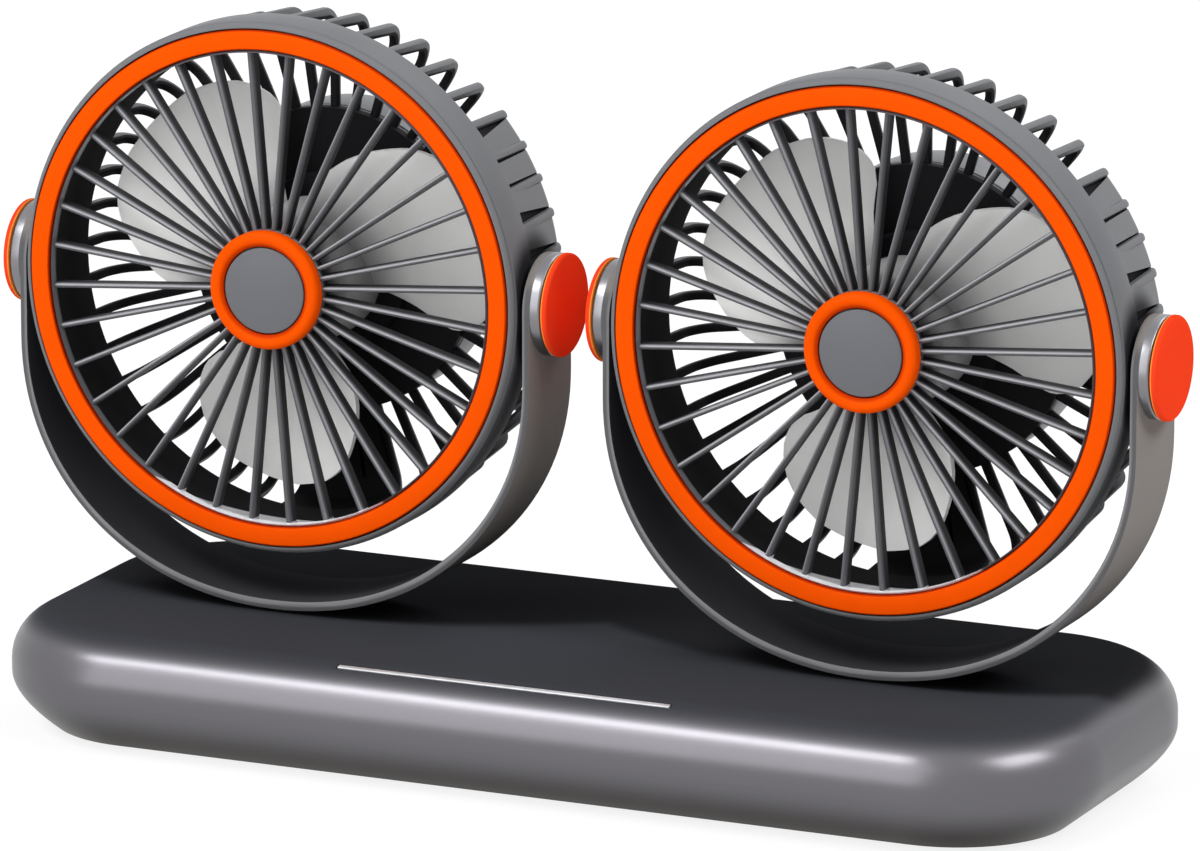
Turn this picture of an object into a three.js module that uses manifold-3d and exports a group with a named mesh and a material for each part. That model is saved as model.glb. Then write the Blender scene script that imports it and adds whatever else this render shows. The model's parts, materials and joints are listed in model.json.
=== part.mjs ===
// Dual head desk fan: two fan heads, each tilting in a yoke that swivels on one weighted base.
// Millimetres, +Z up, front towards -Y. The origin is on the table, under the middle of the base.
import * as THREE from "three";
import { mergeVertices } from "three/addons/utils/BufferGeometryUtils.js";
import Module from "manifold-3d";

// Shared by all pieces: the gap between pieces that touch, how far a cut runs past what it
// cuts, how far one form of a moulding runs into the next, and the distance at which two
// corners count as one.
const seatGap = 0.3;
const overrun = 1;
const weld = 0.5;
const mergeDistance = 0.001;

// Base.
const baseLength = 252.7;
const baseDepth = 103.6;
const baseCornerRadius = 33.8;
const shellHeight = 24.8;
const shellWall = 2.2;
const topFilletRadius = 10.7;
const straightHeight = 2.6;
const taperInset = 9;
const taperControlHeight = 7;
const footStandOff = 0.8;
const plateThickness = 2.2;
const footRadius = 6;
const footHeight = 1.6;
const footEndInset = 28.35;
const footSideInset = 25.8;
const baseScrewEndInset = 46.35;
const baseScrewSideInset = 20.8;
const screwBossRadius = 3.6;
const baseScrewLength = 14;
const screwShankRadius = 1.2;
const screwHeadRadius = 2.6;
const screwHeadHeight = 1;
const trimStripLength = 77.2;
const trimStripWidth = 1.2;
const trimStripThickness = 0.9;
const trimStripProud = 0.1;
const trimStripSetback = 7.3;
const ballastEndClearance = 16.4;
const ballastFrontInset = 17.8;
const ballastBackGap = 7.2;
const ballastThickness = 7;

// Power inlet in the middle of the base's back, and the board that carries it.
const inletWidth = 9;
const inletHeight = 3.3;
const inletDepth = 7.4;
const inletWall = 0.35;
const inletRise = 1.3;
const inletSetback = 0.4;
const tongueWidth = 6.6;
const tongueThickness = 0.7;
const tongueSetback = 0.8;
const boardWidth = 40;
const boardDepth = 21;
const boardThickness = 1.6;
const boardPostRadius = 2.2;
const boardPostInset = 4;
const boardBackClearance = 3.4;

// Head places.
const headGap = 7;
const swivelForward = 1.4;

// Trim ring and grille. Places on a head are measured from its tilt pivot.
const ringFrontY = -13.8;
const trimRingWidth = 4.8;
const trimRingThickness = 2.2;
const trimRingChamfer = 0.6;
const grilleRimSetback = 1.2;
const grilleRimThickness = 1.8;
const slatFrontSetback = 1.2;
const slatFrontWidth = 0.8;
const slatBackWidth = 1.3;
const hubRingOuter = 13;
const hubRingWidth = 3.3;
const hubRingProud = 1.6;
const hubRingThickness = 2.5;
const hubRingChamfer = 0.6;
const hubFaceSetback = 0.8;

// Rear housing.
const bandRadius = 58.6;
const lipWidth = 1.6;
const lipSetback = 0.5;
const lipBevel = 0.9;
const bandBackY = -2.4;
const bandStep = 2.3;
const ductWall = 2;
const windowFrontY = 4.1;
const ribWidth = 1.9;
const ribSetback = 0.4;
const shoulderY = 15.8;
const shoulderInset = 5.3;
const ribOuterArc = 6.8;
const ribDepth = 2.4;
const sectorProudGap = 0.8;
const motorPlateThickness = 3.4;
const motorSeatRim = 5.3;
const motorSeatHeight = 3.4;
const motorSeatWall = 1.8;
const pivotBossRadius = 6;
const pivotBossWall = 1;

// Motor and rear cap.
const motorRadius = 14;
const motorLength = 11.4;
const motorNoseRadius = 3.2;
const motorNoseLength = 2.6;
const shaftRadius = 1.5;
const shaftEngagement = 7;
const capWall = 2;
const capRounding = 3;
const motorBoardRadius = 13;
const motorBoardThickness = 1.2;
const motorBoardGap = 0.6;
const switchSide = 6;
const switchHeight = 1.2;
const switchGap = 1.3;
const capPostRadius = 1.8;
const capPostGap = 0.9;
const capScrewClearance = 9.8;
const capScrewInset = 6.6;
const capScrewBossRadius = 3.2;
const capScrewLength = 13.4;
const capScrewSink = 1;
const buttonRadius = 5.5;
const buttonProud = 1.2;
const buttonFlangeRadius = 7;
const buttonFlangeThickness = 1.1;

// Impeller.
const impellerHubRadius = 15.6;
const impellerFrontGap = 1.5;
const impellerBackGap = 4.3;
const impellerShaftCover = 3;
const impellerHubWall = 1.6;
const impellerHubRounding = 2.2;
const impellerBossRadius = 3.6;
const bladeTipClearance = 7.6;
const bladeRootOverlap = 0.65;
const bladeThickness = 1.4;
const bladeSetback = 3.4;
const bladeRise = 15.6;

// Yoke and pivots.
const yokeSideGap = 0.6;
const yokeFloorGap = 10.9;
const yokeThickness = 1.7;
const yokeDepth = 22.2;
const yokeBottomThickness = 2.2;
const yokeStraightDrop = 16.4;
const yokeBottomClearance = 0.7;
const yokeEdge = 0.5;
const armBossHeight = 2.75;
const pivotCapOverhang = 0.2;
const pivotCapThickness = 2;
const pivotCapChamfer = 0.6;
const pivotShankRadius = 2;
const pivotHeadRadius = 4.6;
const pivotHeadHeight = 1.1;
const pivotWasherRadius = 6.6;
const pivotWasherThickness = 0.7;
const pivotWasherClearance = 1.2;

// Swivel.
const pegRadius = 5;
const pegBore = 3.2;
const pegLength = 9;
const swivelWasherRadius = 8.6;
const swivelRecessDepth = 0.9;
const swivelSpringRadius = 8;
const swivelSpringThickness = 0.8;
const swivelNutRadius = 8;
const swivelNutHeight = 3;

// Counts and angles.
const slatCount = 36;
const slatPhaseDegrees = 5.3;
const ribCount = 44;
const bladeCount = 3;
const firstBladeDegrees = 68;
const sideSectorRibs = [6, 13];
const floorSectorRibs = [20, 23];
const yokeFullness = 2.1;
const cornerSteps = 5;
const outerFilletSteps = 4;
const innerFilletSteps = 2;
const outerTaperSteps = 3;
const innerTaperSteps = 1;
const shoulderSteps = 2;
const innerShoulderSteps = 1;
const noseSteps = 1;
const yokeSteps = 14;
const ringSegments = 36;
const hubSegments = 20;
const seatSegments = 16;
const capSegments = 24;
const discSegments = 16;
const collarSegments = 12;
const hiddenSegments = 8;
const smallSegments = 6;
const nutSides = 6;

// Blade outline: how far from root to tip as a share of the way, and the leading and trailing
// edges in degrees from the blade's middle.
const bladeSpanShares = [0, 0.34, 0.56, 0.78, 0.93, 1];
const bladeLeadingDegrees = [-50, -47, -40, -30, -20, -9];
const bladeTrailingDegrees = [28, 33, 36, 31, 20, 8];
const bladeChordSteps = 4;

// Places worked out from the sizes above.
const trimRingOuter = bandRadius - lipWidth;
const trimRingInner = trimRingOuter - trimRingWidth;
const grilleRimInner = trimRingInner + grilleRimSetback;
const hubRingInner = hubRingOuter - hubRingWidth;
const ductOuter = bandRadius - bandStep;
const ductInner = ductOuter - ductWall;
const shoulderRadius = ductInner - shoulderInset;
const capScrewZ = motorRadius + capScrewBossRadius + capScrewClearance;
const drumRadius = capScrewZ + capScrewInset;
const capPostX = buttonFlangeRadius + seatGap + capPostRadius + capPostGap;
const bladeRootRadius = impellerHubRadius - bladeRootOverlap;
const bladeTipRadius = ductInner - bladeTipClearance;
const motorSeatRadius = motorRadius + seatGap + motorSeatRim;
const yokeHalfWidth = bandRadius + yokeSideGap + yokeThickness;
const pivotRise = bandRadius + yokeFloorGap + yokeBottomThickness + yokeBottomClearance;
const baseTopZ = footStandOff + shellHeight;
const taperHeight = shellHeight - topFilletRadius - straightHeight;
const inletZ = footStandOff + taperHeight + inletRise;
const shellCeilingZ = baseTopZ - shellWall;
const plateTopZ = footStandOff + plateThickness;
const pivotZ = baseTopZ + pivotRise;
const lipFrontY = ringFrontY + lipSetback;
const trimRingBackY = ringFrontY + trimRingThickness;
const grilleRimFrontY = trimRingBackY + seatGap;
const grilleBackY = grilleRimFrontY + grilleRimThickness;
const slatFrontY = ringFrontY + slatFrontSetback;
const hubRingFrontY = ringFrontY - hubRingProud;
const hubShoulderY = hubRingFrontY + hubRingThickness + seatGap;
const recessRadius = trimRingOuter + seatGap;
const housingShoulderY = grilleBackY + seatGap;
const ribRearY = shoulderY + ribOuterArc;
const plateFrontY = ribRearY - motorPlateThickness;
const ribInnerArc = ribOuterArc - ribDepth;
const motorSeatFrontY = plateFrontY - motorSeatHeight;
const impellerHubFrontY = grilleBackY + impellerFrontGap;
const impellerHubBackY = motorSeatFrontY - impellerBackGap;
const bladeFrontY = impellerHubFrontY + bladeSetback;
const shaftFrontY = impellerHubFrontY + impellerShaftCover;
const motorFrontY = motorSeatFrontY + motorSeatWall + seatGap;
const motorBackY = motorFrontY + motorLength;
const motorBoardY = motorBackY + motorBoardGap;
const capFrontY = ribRearY + seatGap;
const buttonFlangeY = motorBoardY + motorBoardThickness + switchHeight + switchGap;
const capInnerY = buttonFlangeY + buttonFlangeThickness + seatGap;
const capBackY = capInnerY + capWall;
const shaftBackY = motorFrontY + shaftEngagement;
const yokeInner = yokeHalfWidth - yokeThickness;
const yokeBottomZ = yokeBottomClearance - pivotRise;
const armBossFace = yokeHalfWidth + armBossHeight;
const pivotBossFace = yokeInner - seatGap;
const pivotWasherFace = yokeHalfWidth + seatGap;
const pivotHeadFace = pivotWasherFace + pivotWasherThickness + seatGap;
const pivotCapFace = armBossFace + seatGap + pivotCapThickness;
const headSpacing = 2 * pivotCapFace + headGap;
const footX = baseLength / 2 - footEndInset;
const footY = baseDepth / 2 - footSideInset;
const baseScrewX = baseLength / 2 - baseScrewEndInset;
const baseScrewY = baseDepth / 2 - baseScrewSideInset;
const ballastLength = 2 * (baseScrewX - screwBossRadius - ballastEndClearance);

const degrees = Math.PI / 180;

// Colours and finishes.
const finishes = {
  greyPlastic: { color: 0x6f7176, roughness: 0.45, metalness: 0 },
  darkPlastic: { color: 0x2c2c30, roughness: 0.35, metalness: 0 },
  yokePlastic: { color: 0x6c6866, roughness: 0.4, metalness: 0 },
  orangePlastic: { color: 0xf75a00, roughness: 0.35, metalness: 0 },
  redPlastic: { color: 0xe04426, roughness: 0.3, metalness: 0 },
  bladePlastic: { color: 0xd6d3ce, roughness: 0.3, metalness: 0 },
  silverTrim: { color: 0xbdb8be, roughness: 0.3, metalness: 0.2 },
  blackRubber: { color: 0x1b1b1d, roughness: 0.8, metalness: 0 },
  steel: { color: 0xa9abae, roughness: 0.35, metalness: 0.9 },
  castIron: { color: 0x4a4a4c, roughness: 0.7, metalness: 0.6 },
  circuitBoard: { color: 0x1d5a36, roughness: 0.5, metalness: 0 },
};

const wasm = await Module();
wasm.setup();

// A closed three.js geometry as a solid that can be joined and cut.
function solidOf(geometry) {
  const bare = new THREE.BufferGeometry();
  bare.setAttribute("position", geometry.getAttribute("position"));
  bare.setIndex(geometry.index);
  const merged = mergeVertices(bare, mergeDistance);
  return new wasm.Manifold(
    new wasm.Mesh({
      numProp: 3,
      vertProperties: merged.getAttribute("position").array,
      triVerts: new Uint32Array(merged.index.array),
    }),
  );
}

function geometryOf(solid) {
  const mesh = solid.getMesh();
  const geometry = new THREE.BufferGeometry();
  geometry.setAttribute(
    "position",
    new THREE.BufferAttribute(mesh.vertProperties, 3),
  );
  geometry.setIndex(new THREE.BufferAttribute(mesh.triVerts, 1));
  geometry.computeVertexNormals();
  return geometry;
}

function joined(solids) {
  return solids.reduce((whole, solid) => whole.add(solid));
}

function cut(solid, tools) {
  return tools.reduce((left, tool) => left.subtract(tool), solid);
}

// Twice the area inside an outline, positive when it runs anticlockwise.
function turn(points) {
  return points.reduce((sum, [x, y], i) => {
    const [nextX, nextY] = points[(i + 1) % points.length];
    return sum + x * nextY - nextX * y;
  }, 0);
}

// A profile of [radius, place] corners turned about the x, y or z axis. It starts and ends
// on the axis, or else closes on itself.
function lathed(profile, segments, axis = "y") {
  const loop = turn(profile) < 0 ? [...profile].reverse() : [...profile];
  if (loop.some(([radius]) => radius === 0)) {
    const start = loop.findIndex(
      ([radius], i) =>
        radius === 0 && loop[(i + loop.length - 1) % loop.length][0] === 0,
    );
    loop.push(...loop.splice(0, start));
  } else {
    loop.push(loop[0]);
  }
  const geometry = new THREE.LatheGeometry(
    loop.map(([radius, place]) => new THREE.Vector2(radius, place)),
    segments,
  );
  if (axis === "x") geometry.rotateZ(-Math.PI / 2);
  if (axis === "z") geometry.rotateX(Math.PI / 2);
  return solidOf(geometry);
}

function disc(radius, low, high, segments, axis) {
  const profile = [
    [0, low],
    [radius, low],
    [radius, high],
    [0, high],
  ];
  return lathed(profile, segments, axis);
}

function washer(inner, outer, low, high, segments, axis) {
  const profile = [
    [inner, low],
    [outer, low],
    [outer, high],
    [inner, high],
  ];
  return lathed(profile, segments, axis);
}

// A screw's head and shank as one turned piece, with its head's outer face at headEnd.
function screw(headRadius, headHeight, shankRadius, headEnd, tip, axis) {
  const seat = headEnd + Math.sign(tip - headEnd) * headHeight;
  const profile = [
    [0, headEnd],
    [headRadius, headEnd],
    [headRadius, seat],
    [shankRadius, seat],
    [shankRadius, tip],
    [0, tip],
  ];
  return lathed(profile, smallSegments, axis);
}

function block(lowCorner, highCorner) {
  const size = highCorner.map((high, i) => high - lowCorner[i]);
  const geometry = new THREE.BoxGeometry(...size);
  geometry.translate(...size.map((length, i) => lowCorner[i] + length / 2));
  return solidOf(geometry);
}

function moved(solid, x, y, z) {
  return solid.translate([x, y, z]);
}

// A flat outline carried along an axis from low to high. The outline's two directions are
// Y and Z along the x axis, X and Z along the y axis, and X and Y along the z axis.
function prism(outline, axis, low, high, bevel = 0) {
  const shape = new THREE.Shape(
    outline.map(([a, b]) => new THREE.Vector2(a, b)),
  );
  const geometry = new THREE.ExtrudeGeometry(shape, {
    depth: high - low - 2 * bevel,
    bevelEnabled: bevel > 0,
    bevelSize: bevel,
    bevelThickness: bevel,
    bevelOffset: -bevel,
    bevelSegments: 1,
  });
  const xAxis = new THREE.Vector3(1, 0, 0);
  const yAxis = new THREE.Vector3(0, 1, 0);
  const zAxis = new THREE.Vector3(0, 0, 1);
  const place = new THREE.Matrix4();
  if (axis === "x") {
    place.makeBasis(yAxis, zAxis, xAxis).setPosition(low + bevel, 0, 0);
  } else if (axis === "y") {
    const back = yAxis.clone().negate();
    place.makeBasis(xAxis, zAxis, back).setPosition(0, high - bevel, 0);
  } else {
    place.setPosition(0, 0, low + bevel);
  }
  return solidOf(geometry.applyMatrix4(place));
}

// Points of an arc in steps, from one angle in degrees to another.
function arc(centreX, centreY, radius, fromDegrees, toDegrees, steps) {
  return Array.from({ length: steps + 1 }, (_, i) => {
    const angle = fromDegrees + ((toDegrees - fromDegrees) * i) / steps;
    return [
      centreX + radius * Math.cos(angle * degrees),
      centreY + radius * Math.sin(angle * degrees),
    ];
  });
}

// Base: one level is a rounded rectangle drawn in from the widest outline.
function baseLevel(inset, z) {
  const halfLength = baseLength / 2 - baseCornerRadius;
  const halfDepth = baseDepth / 2 - baseCornerRadius;
  const radius = baseCornerRadius - inset;
  const corners = [
    [halfLength, halfDepth, 0],
    [-halfLength, halfDepth, 90],
    [-halfLength, -halfDepth, 180],
    [halfLength, -halfDepth, 270],
  ];
  return corners.flatMap(([x, y, start]) =>
    arc(x, y, radius, start, start + 90, cornerSteps).map(
      ([px, py]) => new THREE.Vector3(px, py, z),
    ),
  );
}

// A closed skin over levels of equal point counts, listed upwards.
function loft(levels) {
  const count = levels[0].length;
  const index = [];
  for (let level = 0; level + 1 < levels.length; level += 1) {
    for (let i = 0; i < count; i += 1) {
      const a = level * count + i;
      const b = level * count + ((i + 1) % count);
      index.push(a, b, b + count, a, b + count, a + count);
    }
  }
  const top = (levels.length - 1) * count;
  for (let i = 1; i + 1 < count; i += 1) {
    index.push(0, i + 1, i);
    index.push(top, top + i, top + i + 1);
  }
  const geometry = new THREE.BufferGeometry().setFromPoints(levels.flat());
  geometry.setIndex(index);
  return solidOf(geometry);
}

// The base's outer form, or with a wall's thickness the hollow inside it, open below.
function baseForm(wall) {
  const taper = new THREE.QuadraticBezierCurve(
    new THREE.Vector2(taperInset, 0),
    new THREE.Vector2(0, taperControlHeight),
    new THREE.Vector2(0, taperHeight),
  );
  const rise = taper
    .getPoints(wall > 0 ? innerTaperSteps : outerTaperSteps)
    .map((point) => [point.x + wall, footStandOff + point.y]);
  if (wall > 0) rise[0][1] -= overrun;
  const radius = topFilletRadius - wall;
  const centreZ = baseTopZ - topFilletRadius;
  const steps = wall > 0 ? innerFilletSteps : outerFilletSteps;
  const fillet = arc(topFilletRadius, centreZ, radius, 180, 90, steps);
  return loft([...rise, ...fillet].map(([inset, z]) => baseLevel(inset, z)));
}

// The four places at plus and minus x and y.
function fourPlaces(x, y) {
  return [
    ["front_left", -x, -y],
    ["front_right", x, -y],
    ["rear_left", -x, y],
    ["rear_right", x, y],
  ];
}

// The trim strip's bed: a bar along X that lies on the top's front fillet.
function filletBar(length, width, depth, proud) {
  const lean = Math.asin((topFilletRadius - trimStripSetback) / topFilletRadius);
  const bar = block(
    [-length / 2, -width / 2, topFilletRadius - depth],
    [length / 2, width / 2, topFilletRadius + proud],
  );
  return bar
    .rotate([lean / degrees, 0, 0])
    .translate([0, topFilletRadius - baseDepth / 2, baseTopZ - topFilletRadius]);
}

function baseTopShell() {
  const bossLow = plateTopZ + seatGap;
  const pilotRadius = screwShankRadius + seatGap;
  const pilotTop = footStandOff + baseScrewLength + overrun;
  const screwPlaces = fourPlaces(baseScrewX, baseScrewY);
  const bosses = screwPlaces.map(([, x, y]) =>
    moved(
      disc(screwBossRadius, bossLow, shellCeilingZ + weld, smallSegments, "z"),
      x,
      y,
      0,
    ),
  );
  const pilots = screwPlaces.map(([, x, y]) =>
    moved(disc(pilotRadius, 0, pilotTop, smallSegments, "z"), x, y, 0),
  );
  const swivels = [-headSpacing / 2, headSpacing / 2].map((x) =>
    moved(
      lathed(
        [
          [0, shellCeilingZ - overrun],
          [pegRadius + seatGap, shellCeilingZ - overrun],
          [pegRadius + seatGap, baseTopZ - swivelRecessDepth],
          [swivelWasherRadius + seatGap, baseTopZ - swivelRecessDepth],
          [swivelWasherRadius + seatGap, baseTopZ + overrun],
          [0, baseTopZ + overrun],
        ],
        collarSegments,
        "z",
      ),
      x,
      -swivelForward,
      0,
    ),
  );
  const groove = filletBar(
    trimStripLength + 2 * seatGap,
    trimStripWidth + 2 * seatGap,
    trimStripThickness - trimStripProud + seatGap,
    overrun,
  );
  const inletHole = block(
    [-inletWidth / 2 - seatGap, baseDepth / 2 - shellWall - overrun, inletZ - inletHeight / 2 - seatGap],
    [inletWidth / 2 + seatGap, baseDepth / 2 + overrun, inletZ + inletHeight / 2 + seatGap],
  );
  const shell = joined([baseForm(0).subtract(baseForm(shellWall)), ...bosses]);
  return cut(shell, [...pilots, ...swivels, groove, inletHole]);
}

function baseBottomPlate() {
  const inset = taperInset + shellWall + seatGap;
  const plate = loft([
    baseLevel(inset, footStandOff),
    baseLevel(inset, plateTopZ),
  ]);
  const boardLow = boardUndersideZ() - seatGap;
  const posts = boardPostPlaces().map(([x, y]) =>
    moved(
      disc(boardPostRadius, plateTopZ - weld, boardLow, smallSegments, "z"),
      x,
      y,
      0,
    ),
  );
  const footRecesses = fourPlaces(footX, footY).map(([, x, y]) =>
    moved(
      disc(footRadius + seatGap, 0, footHeight + seatGap, hiddenSegments, "z"),
      x,
      y,
      0,
    ),
  );
  const headTop = footStandOff + screwHeadHeight + seatGap;
  const screwHoles = fourPlaces(baseScrewX, baseScrewY).map(([, x, y]) =>
    moved(
      lathed(
        [
          [0, 0],
          [screwHeadRadius + seatGap, 0],
          [screwHeadRadius + seatGap, headTop],
          [screwShankRadius + seatGap, headTop],
          [screwShankRadius + seatGap, plateTopZ + overrun],
          [0, plateTopZ + overrun],
        ],
        smallSegments,
        "z",
      ),
      x,
      y,
      0,
    ),
  );
  return cut(joined([plate, ...posts]), [...footRecesses, ...screwHoles]);
}

function boardUndersideZ() {
  return inletZ - inletHeight / 2 - seatGap - boardThickness;
}

function boardBackY() {
  return baseDepth / 2 - shellWall - boardBackClearance;
}

function boardPostPlaces() {
  const x = boardWidth / 2 - boardPostInset;
  const frontY = boardBackY() - boardDepth + boardPostInset;
  return [
    [-x, frontY],
    [x, frontY],
  ];
}

function powerBoard() {
  const low = boardUndersideZ();
  return block(
    [-boardWidth / 2, boardBackY() - boardDepth, low],
    [boardWidth / 2, boardBackY(), low + boardThickness],
  );
}

// A metal shell, open at the back, round a tongue that stands on its inner end.
function powerInlet() {
  const mouthY = baseDepth / 2 - inletSetback;
  const rootY = mouthY - inletDepth;
  const halfHeight = inletHeight / 2;
  const round = (halfWidth, half) => [
    ...arc(halfWidth - half, inletZ, half, -90, 90, cornerSteps),
    ...arc(half - halfWidth, inletZ, half, 90, 270, cornerSteps),
  ];
  const outside = prism(round(inletWidth / 2, halfHeight), "y", rootY, mouthY);
  const inside = prism(
    round(inletWidth / 2 - inletWall, halfHeight - inletWall),
    "y",
    rootY + overrun,
    mouthY + overrun,
  );
  const tongue = block(
    [-tongueWidth / 2, rootY + overrun - weld, inletZ - tongueThickness / 2],
    [tongueWidth / 2, mouthY - tongueSetback, inletZ + tongueThickness / 2],
  );
  return outside.subtract(inside).add(tongue);
}

function ballastWeight() {
  const low = plateTopZ + seatGap;
  return block(
    [-ballastLength / 2, ballastFrontInset - baseDepth / 2, low],
    [
      ballastLength / 2,
      boardBackY() - boardDepth - ballastBackGap,
      low + ballastThickness,
    ],
  );
}

function trimStrip() {
  return filletBar(
    trimStripLength,
    trimStripWidth,
    trimStripThickness - trimStripProud,
    trimStripProud,
  );
}

// Trim ring round the grille: flat front, chamfered outer edge.
function trimRing() {
  const chamfer = trimRingChamfer;
  return lathed(
    [
      [trimRingInner, trimRingBackY],
      [trimRingInner, ringFrontY],
      [trimRingOuter - chamfer, ringFrontY],
      [trimRingOuter, ringFrontY + chamfer],
      [trimRingOuter, trimRingBackY],
    ],
    ringSegments,
  );
}

function hubRing() {
  const backY = hubRingFrontY + hubRingThickness;
  return lathed(
    [
      [hubRingInner, backY],
      [hubRingInner, hubRingFrontY],
      [hubRingOuter - hubRingChamfer, hubRingFrontY],
      [hubRingOuter, hubRingFrontY + hubRingChamfer],
      [hubRingOuter, backY],
    ],
    hubSegments,
  );
}

// Front grille: slats that taper to the front run from the hub to the rim behind the trim ring.
function frontGrille() {
  const plugRadius = hubRingInner - seatGap;
  const faceY = hubRingFrontY + hubFaceSetback;
  const hub = lathed(
    [
      [0, faceY],
      [plugRadius, faceY],
      [plugRadius, hubShoulderY],
      [hubRingOuter, hubShoulderY],
      [hubRingOuter, grilleBackY],
      [0, grilleBackY],
    ],
    hubSegments,
  );
  const rim = washer(
    grilleRimInner,
    trimRingOuter,
    grilleRimFrontY,
    grilleBackY,
    slatCount,
  );
  const section = [
    [-slatBackWidth / 2, grilleBackY],
    [-slatFrontWidth / 2, slatFrontY],
    [slatFrontWidth / 2, slatFrontY],
    [slatBackWidth / 2, grilleBackY],
  ];
  const slat = prism(
    section,
    "z",
    hubRingOuter - hubRingChamfer,
    grilleRimInner + weld,
  );
  const slats = Array.from({ length: slatCount }, (_, i) =>
    slat.rotate([0, (360 * (i + 0.5)) / slatCount, 0]),
  );
  const ringSpace = washer(
    trimRingInner - seatGap,
    trimRingOuter + overrun,
    ringFrontY - overrun,
    grilleRimFrontY,
    slatCount,
  );
  return joined([hub, rim, ...slats])
    .subtract(ringSpace)
    .rotate([0, slatPhaseDegrees - 180 / slatCount, 0]);
}

// One rear rib, seen along its thickness: down the side, round the shoulder, and in to the
// motor seat.
function ribOutline() {
  return [
    [ductOuter - weld, bandBackY - weld],
    [bandRadius - ribSetback, bandBackY - weld],
    ...arc(shoulderRadius, shoulderY, ribOuterArc, 0, 90, shoulderSteps),
    [drumRadius - weld, ribRearY],
    [drumRadius - weld, ribRearY - ribDepth],
    ...arc(shoulderRadius, shoulderY, ribInnerArc, 90, 0, innerShoulderSteps),
  ];
}

// A wedge of the head between two ribs, counted clockwise from the top as seen from the front.
function wedge([fromRib, toRib]) {
  const reach = 2 * bandRadius;
  const [start, end] = [toRib, fromRib].map((rib) => 90 - (360 * rib) / ribCount);
  const outline = [[0, 0], ...arc(0, 0, reach, start, end, shoulderSteps)];
  return prism(outline, "y", windowFrontY - weld, ribRearY);
}

// The closed wall that fills some sectors, a little below the ribs.
function sectorWall() {
  const outerArc = ribOuterArc - sectorProudGap;
  const outline = [
    [ductInner, windowFrontY - weld],
    [ductOuter, windowFrontY - weld],
    [ductOuter, windowFrontY],
    ...arc(shoulderRadius, shoulderY, outerArc, 0, 90, shoulderSteps),
    [drumRadius - weld, shoulderY + outerArc],
    [drumRadius - weld, ribRearY - ribDepth],
    ...arc(shoulderRadius, shoulderY, ribInnerArc, 90, 0, innerShoulderSteps),
  ];
  return lathed(outline, ribCount);
}

function rearHousing() {
  const bevelStart = bandRadius - lipBevel;
  const band = lathed(
    [
      [ductInner, housingShoulderY],
      [recessRadius, housingShoulderY],
      [recessRadius, lipFrontY],
      [bevelStart, lipFrontY],
      [bandRadius, lipFrontY + lipBevel],
      [bandRadius, bandBackY],
      [ductOuter, bandBackY],
      [ductOuter, windowFrontY],
      [ductInner, windowFrontY],
    ],
    ribCount,
  );
  const boreRadius = motorRadius + seatGap;
  const seat = lathed(
    [
      [motorNoseRadius + seatGap, motorSeatFrontY],
      [motorSeatRadius, motorSeatFrontY],
      [motorSeatRadius, plateFrontY],
      [drumRadius, plateFrontY],
      [drumRadius, ribRearY],
      [boreRadius, ribRearY],
      [boreRadius, motorSeatFrontY + motorSeatWall],
      [motorNoseRadius + seatGap, motorSeatFrontY + motorSeatWall],
    ],
    seatSegments,
  );
  const rib = solidOf(ribGeometry());
  const ribs = Array.from({ length: ribCount }, (_, i) =>
    rib.rotate([0, (360 * i) / ribCount, 0]),
  );
  const halfPitch = 180 / ribCount;
  const wall = sectorWall();
  const sectors = [sideSectorRibs, floorSectorRibs].map((range) =>
    wall.rotate([0, halfPitch, 0]).intersect(wedge(range)),
  );
  const bossRoot = ductInner + weld;
  const bosses = [1, -1].map((side) =>
    disc(pivotBossRadius, side * bossRoot, side * pivotBossFace, smallSegments, "x"),
  );
  const pivotBores = [1, -1].map((side) =>
    disc(
      pivotShankRadius + seatGap,
      side * (ductInner + pivotBossWall),
      side * (pivotBossFace + overrun),
      smallSegments,
      "x",
    ),
  );
  const screwTipY = capScrewHeadY() - capScrewLength;
  const screwHoles = [1, -1].map((side) =>
    moved(
      disc(
        screwShankRadius + seatGap,
        screwTipY - seatGap,
        ribRearY + overrun,
        smallSegments,
      ),
      0,
      0,
      side * capScrewZ,
    ),
  );
  const frame = [band, seat].map((ring) => ring.rotate([0, halfPitch, 0]));
  return cut(joined([...frame, ...ribs, ...sectors, ...bosses]), [
    ...pivotBores,
    ...screwHoles,
  ]);
}

// The rib's outline is drawn with radius across and place along, and stands in the plane of
// Z and Y.
function ribGeometry() {
  const shape = new THREE.Shape(
    ribOutline().map(([radius, place]) => new THREE.Vector2(radius, place)),
  );
  const geometry = new THREE.ExtrudeGeometry(shape, {
    depth: ribWidth,
    bevelEnabled: false,
  });
  const place = new THREE.Matrix4().makeBasis(
    new THREE.Vector3(0, 0, 1),
    new THREE.Vector3(0, 1, 0),
    new THREE.Vector3(-1, 0, 0),
  );
  return geometry.applyMatrix4(place).translate(ribWidth / 2, 0, 0);
}

function capScrewHeadY() {
  return capBackY - capScrewSink;
}

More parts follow.
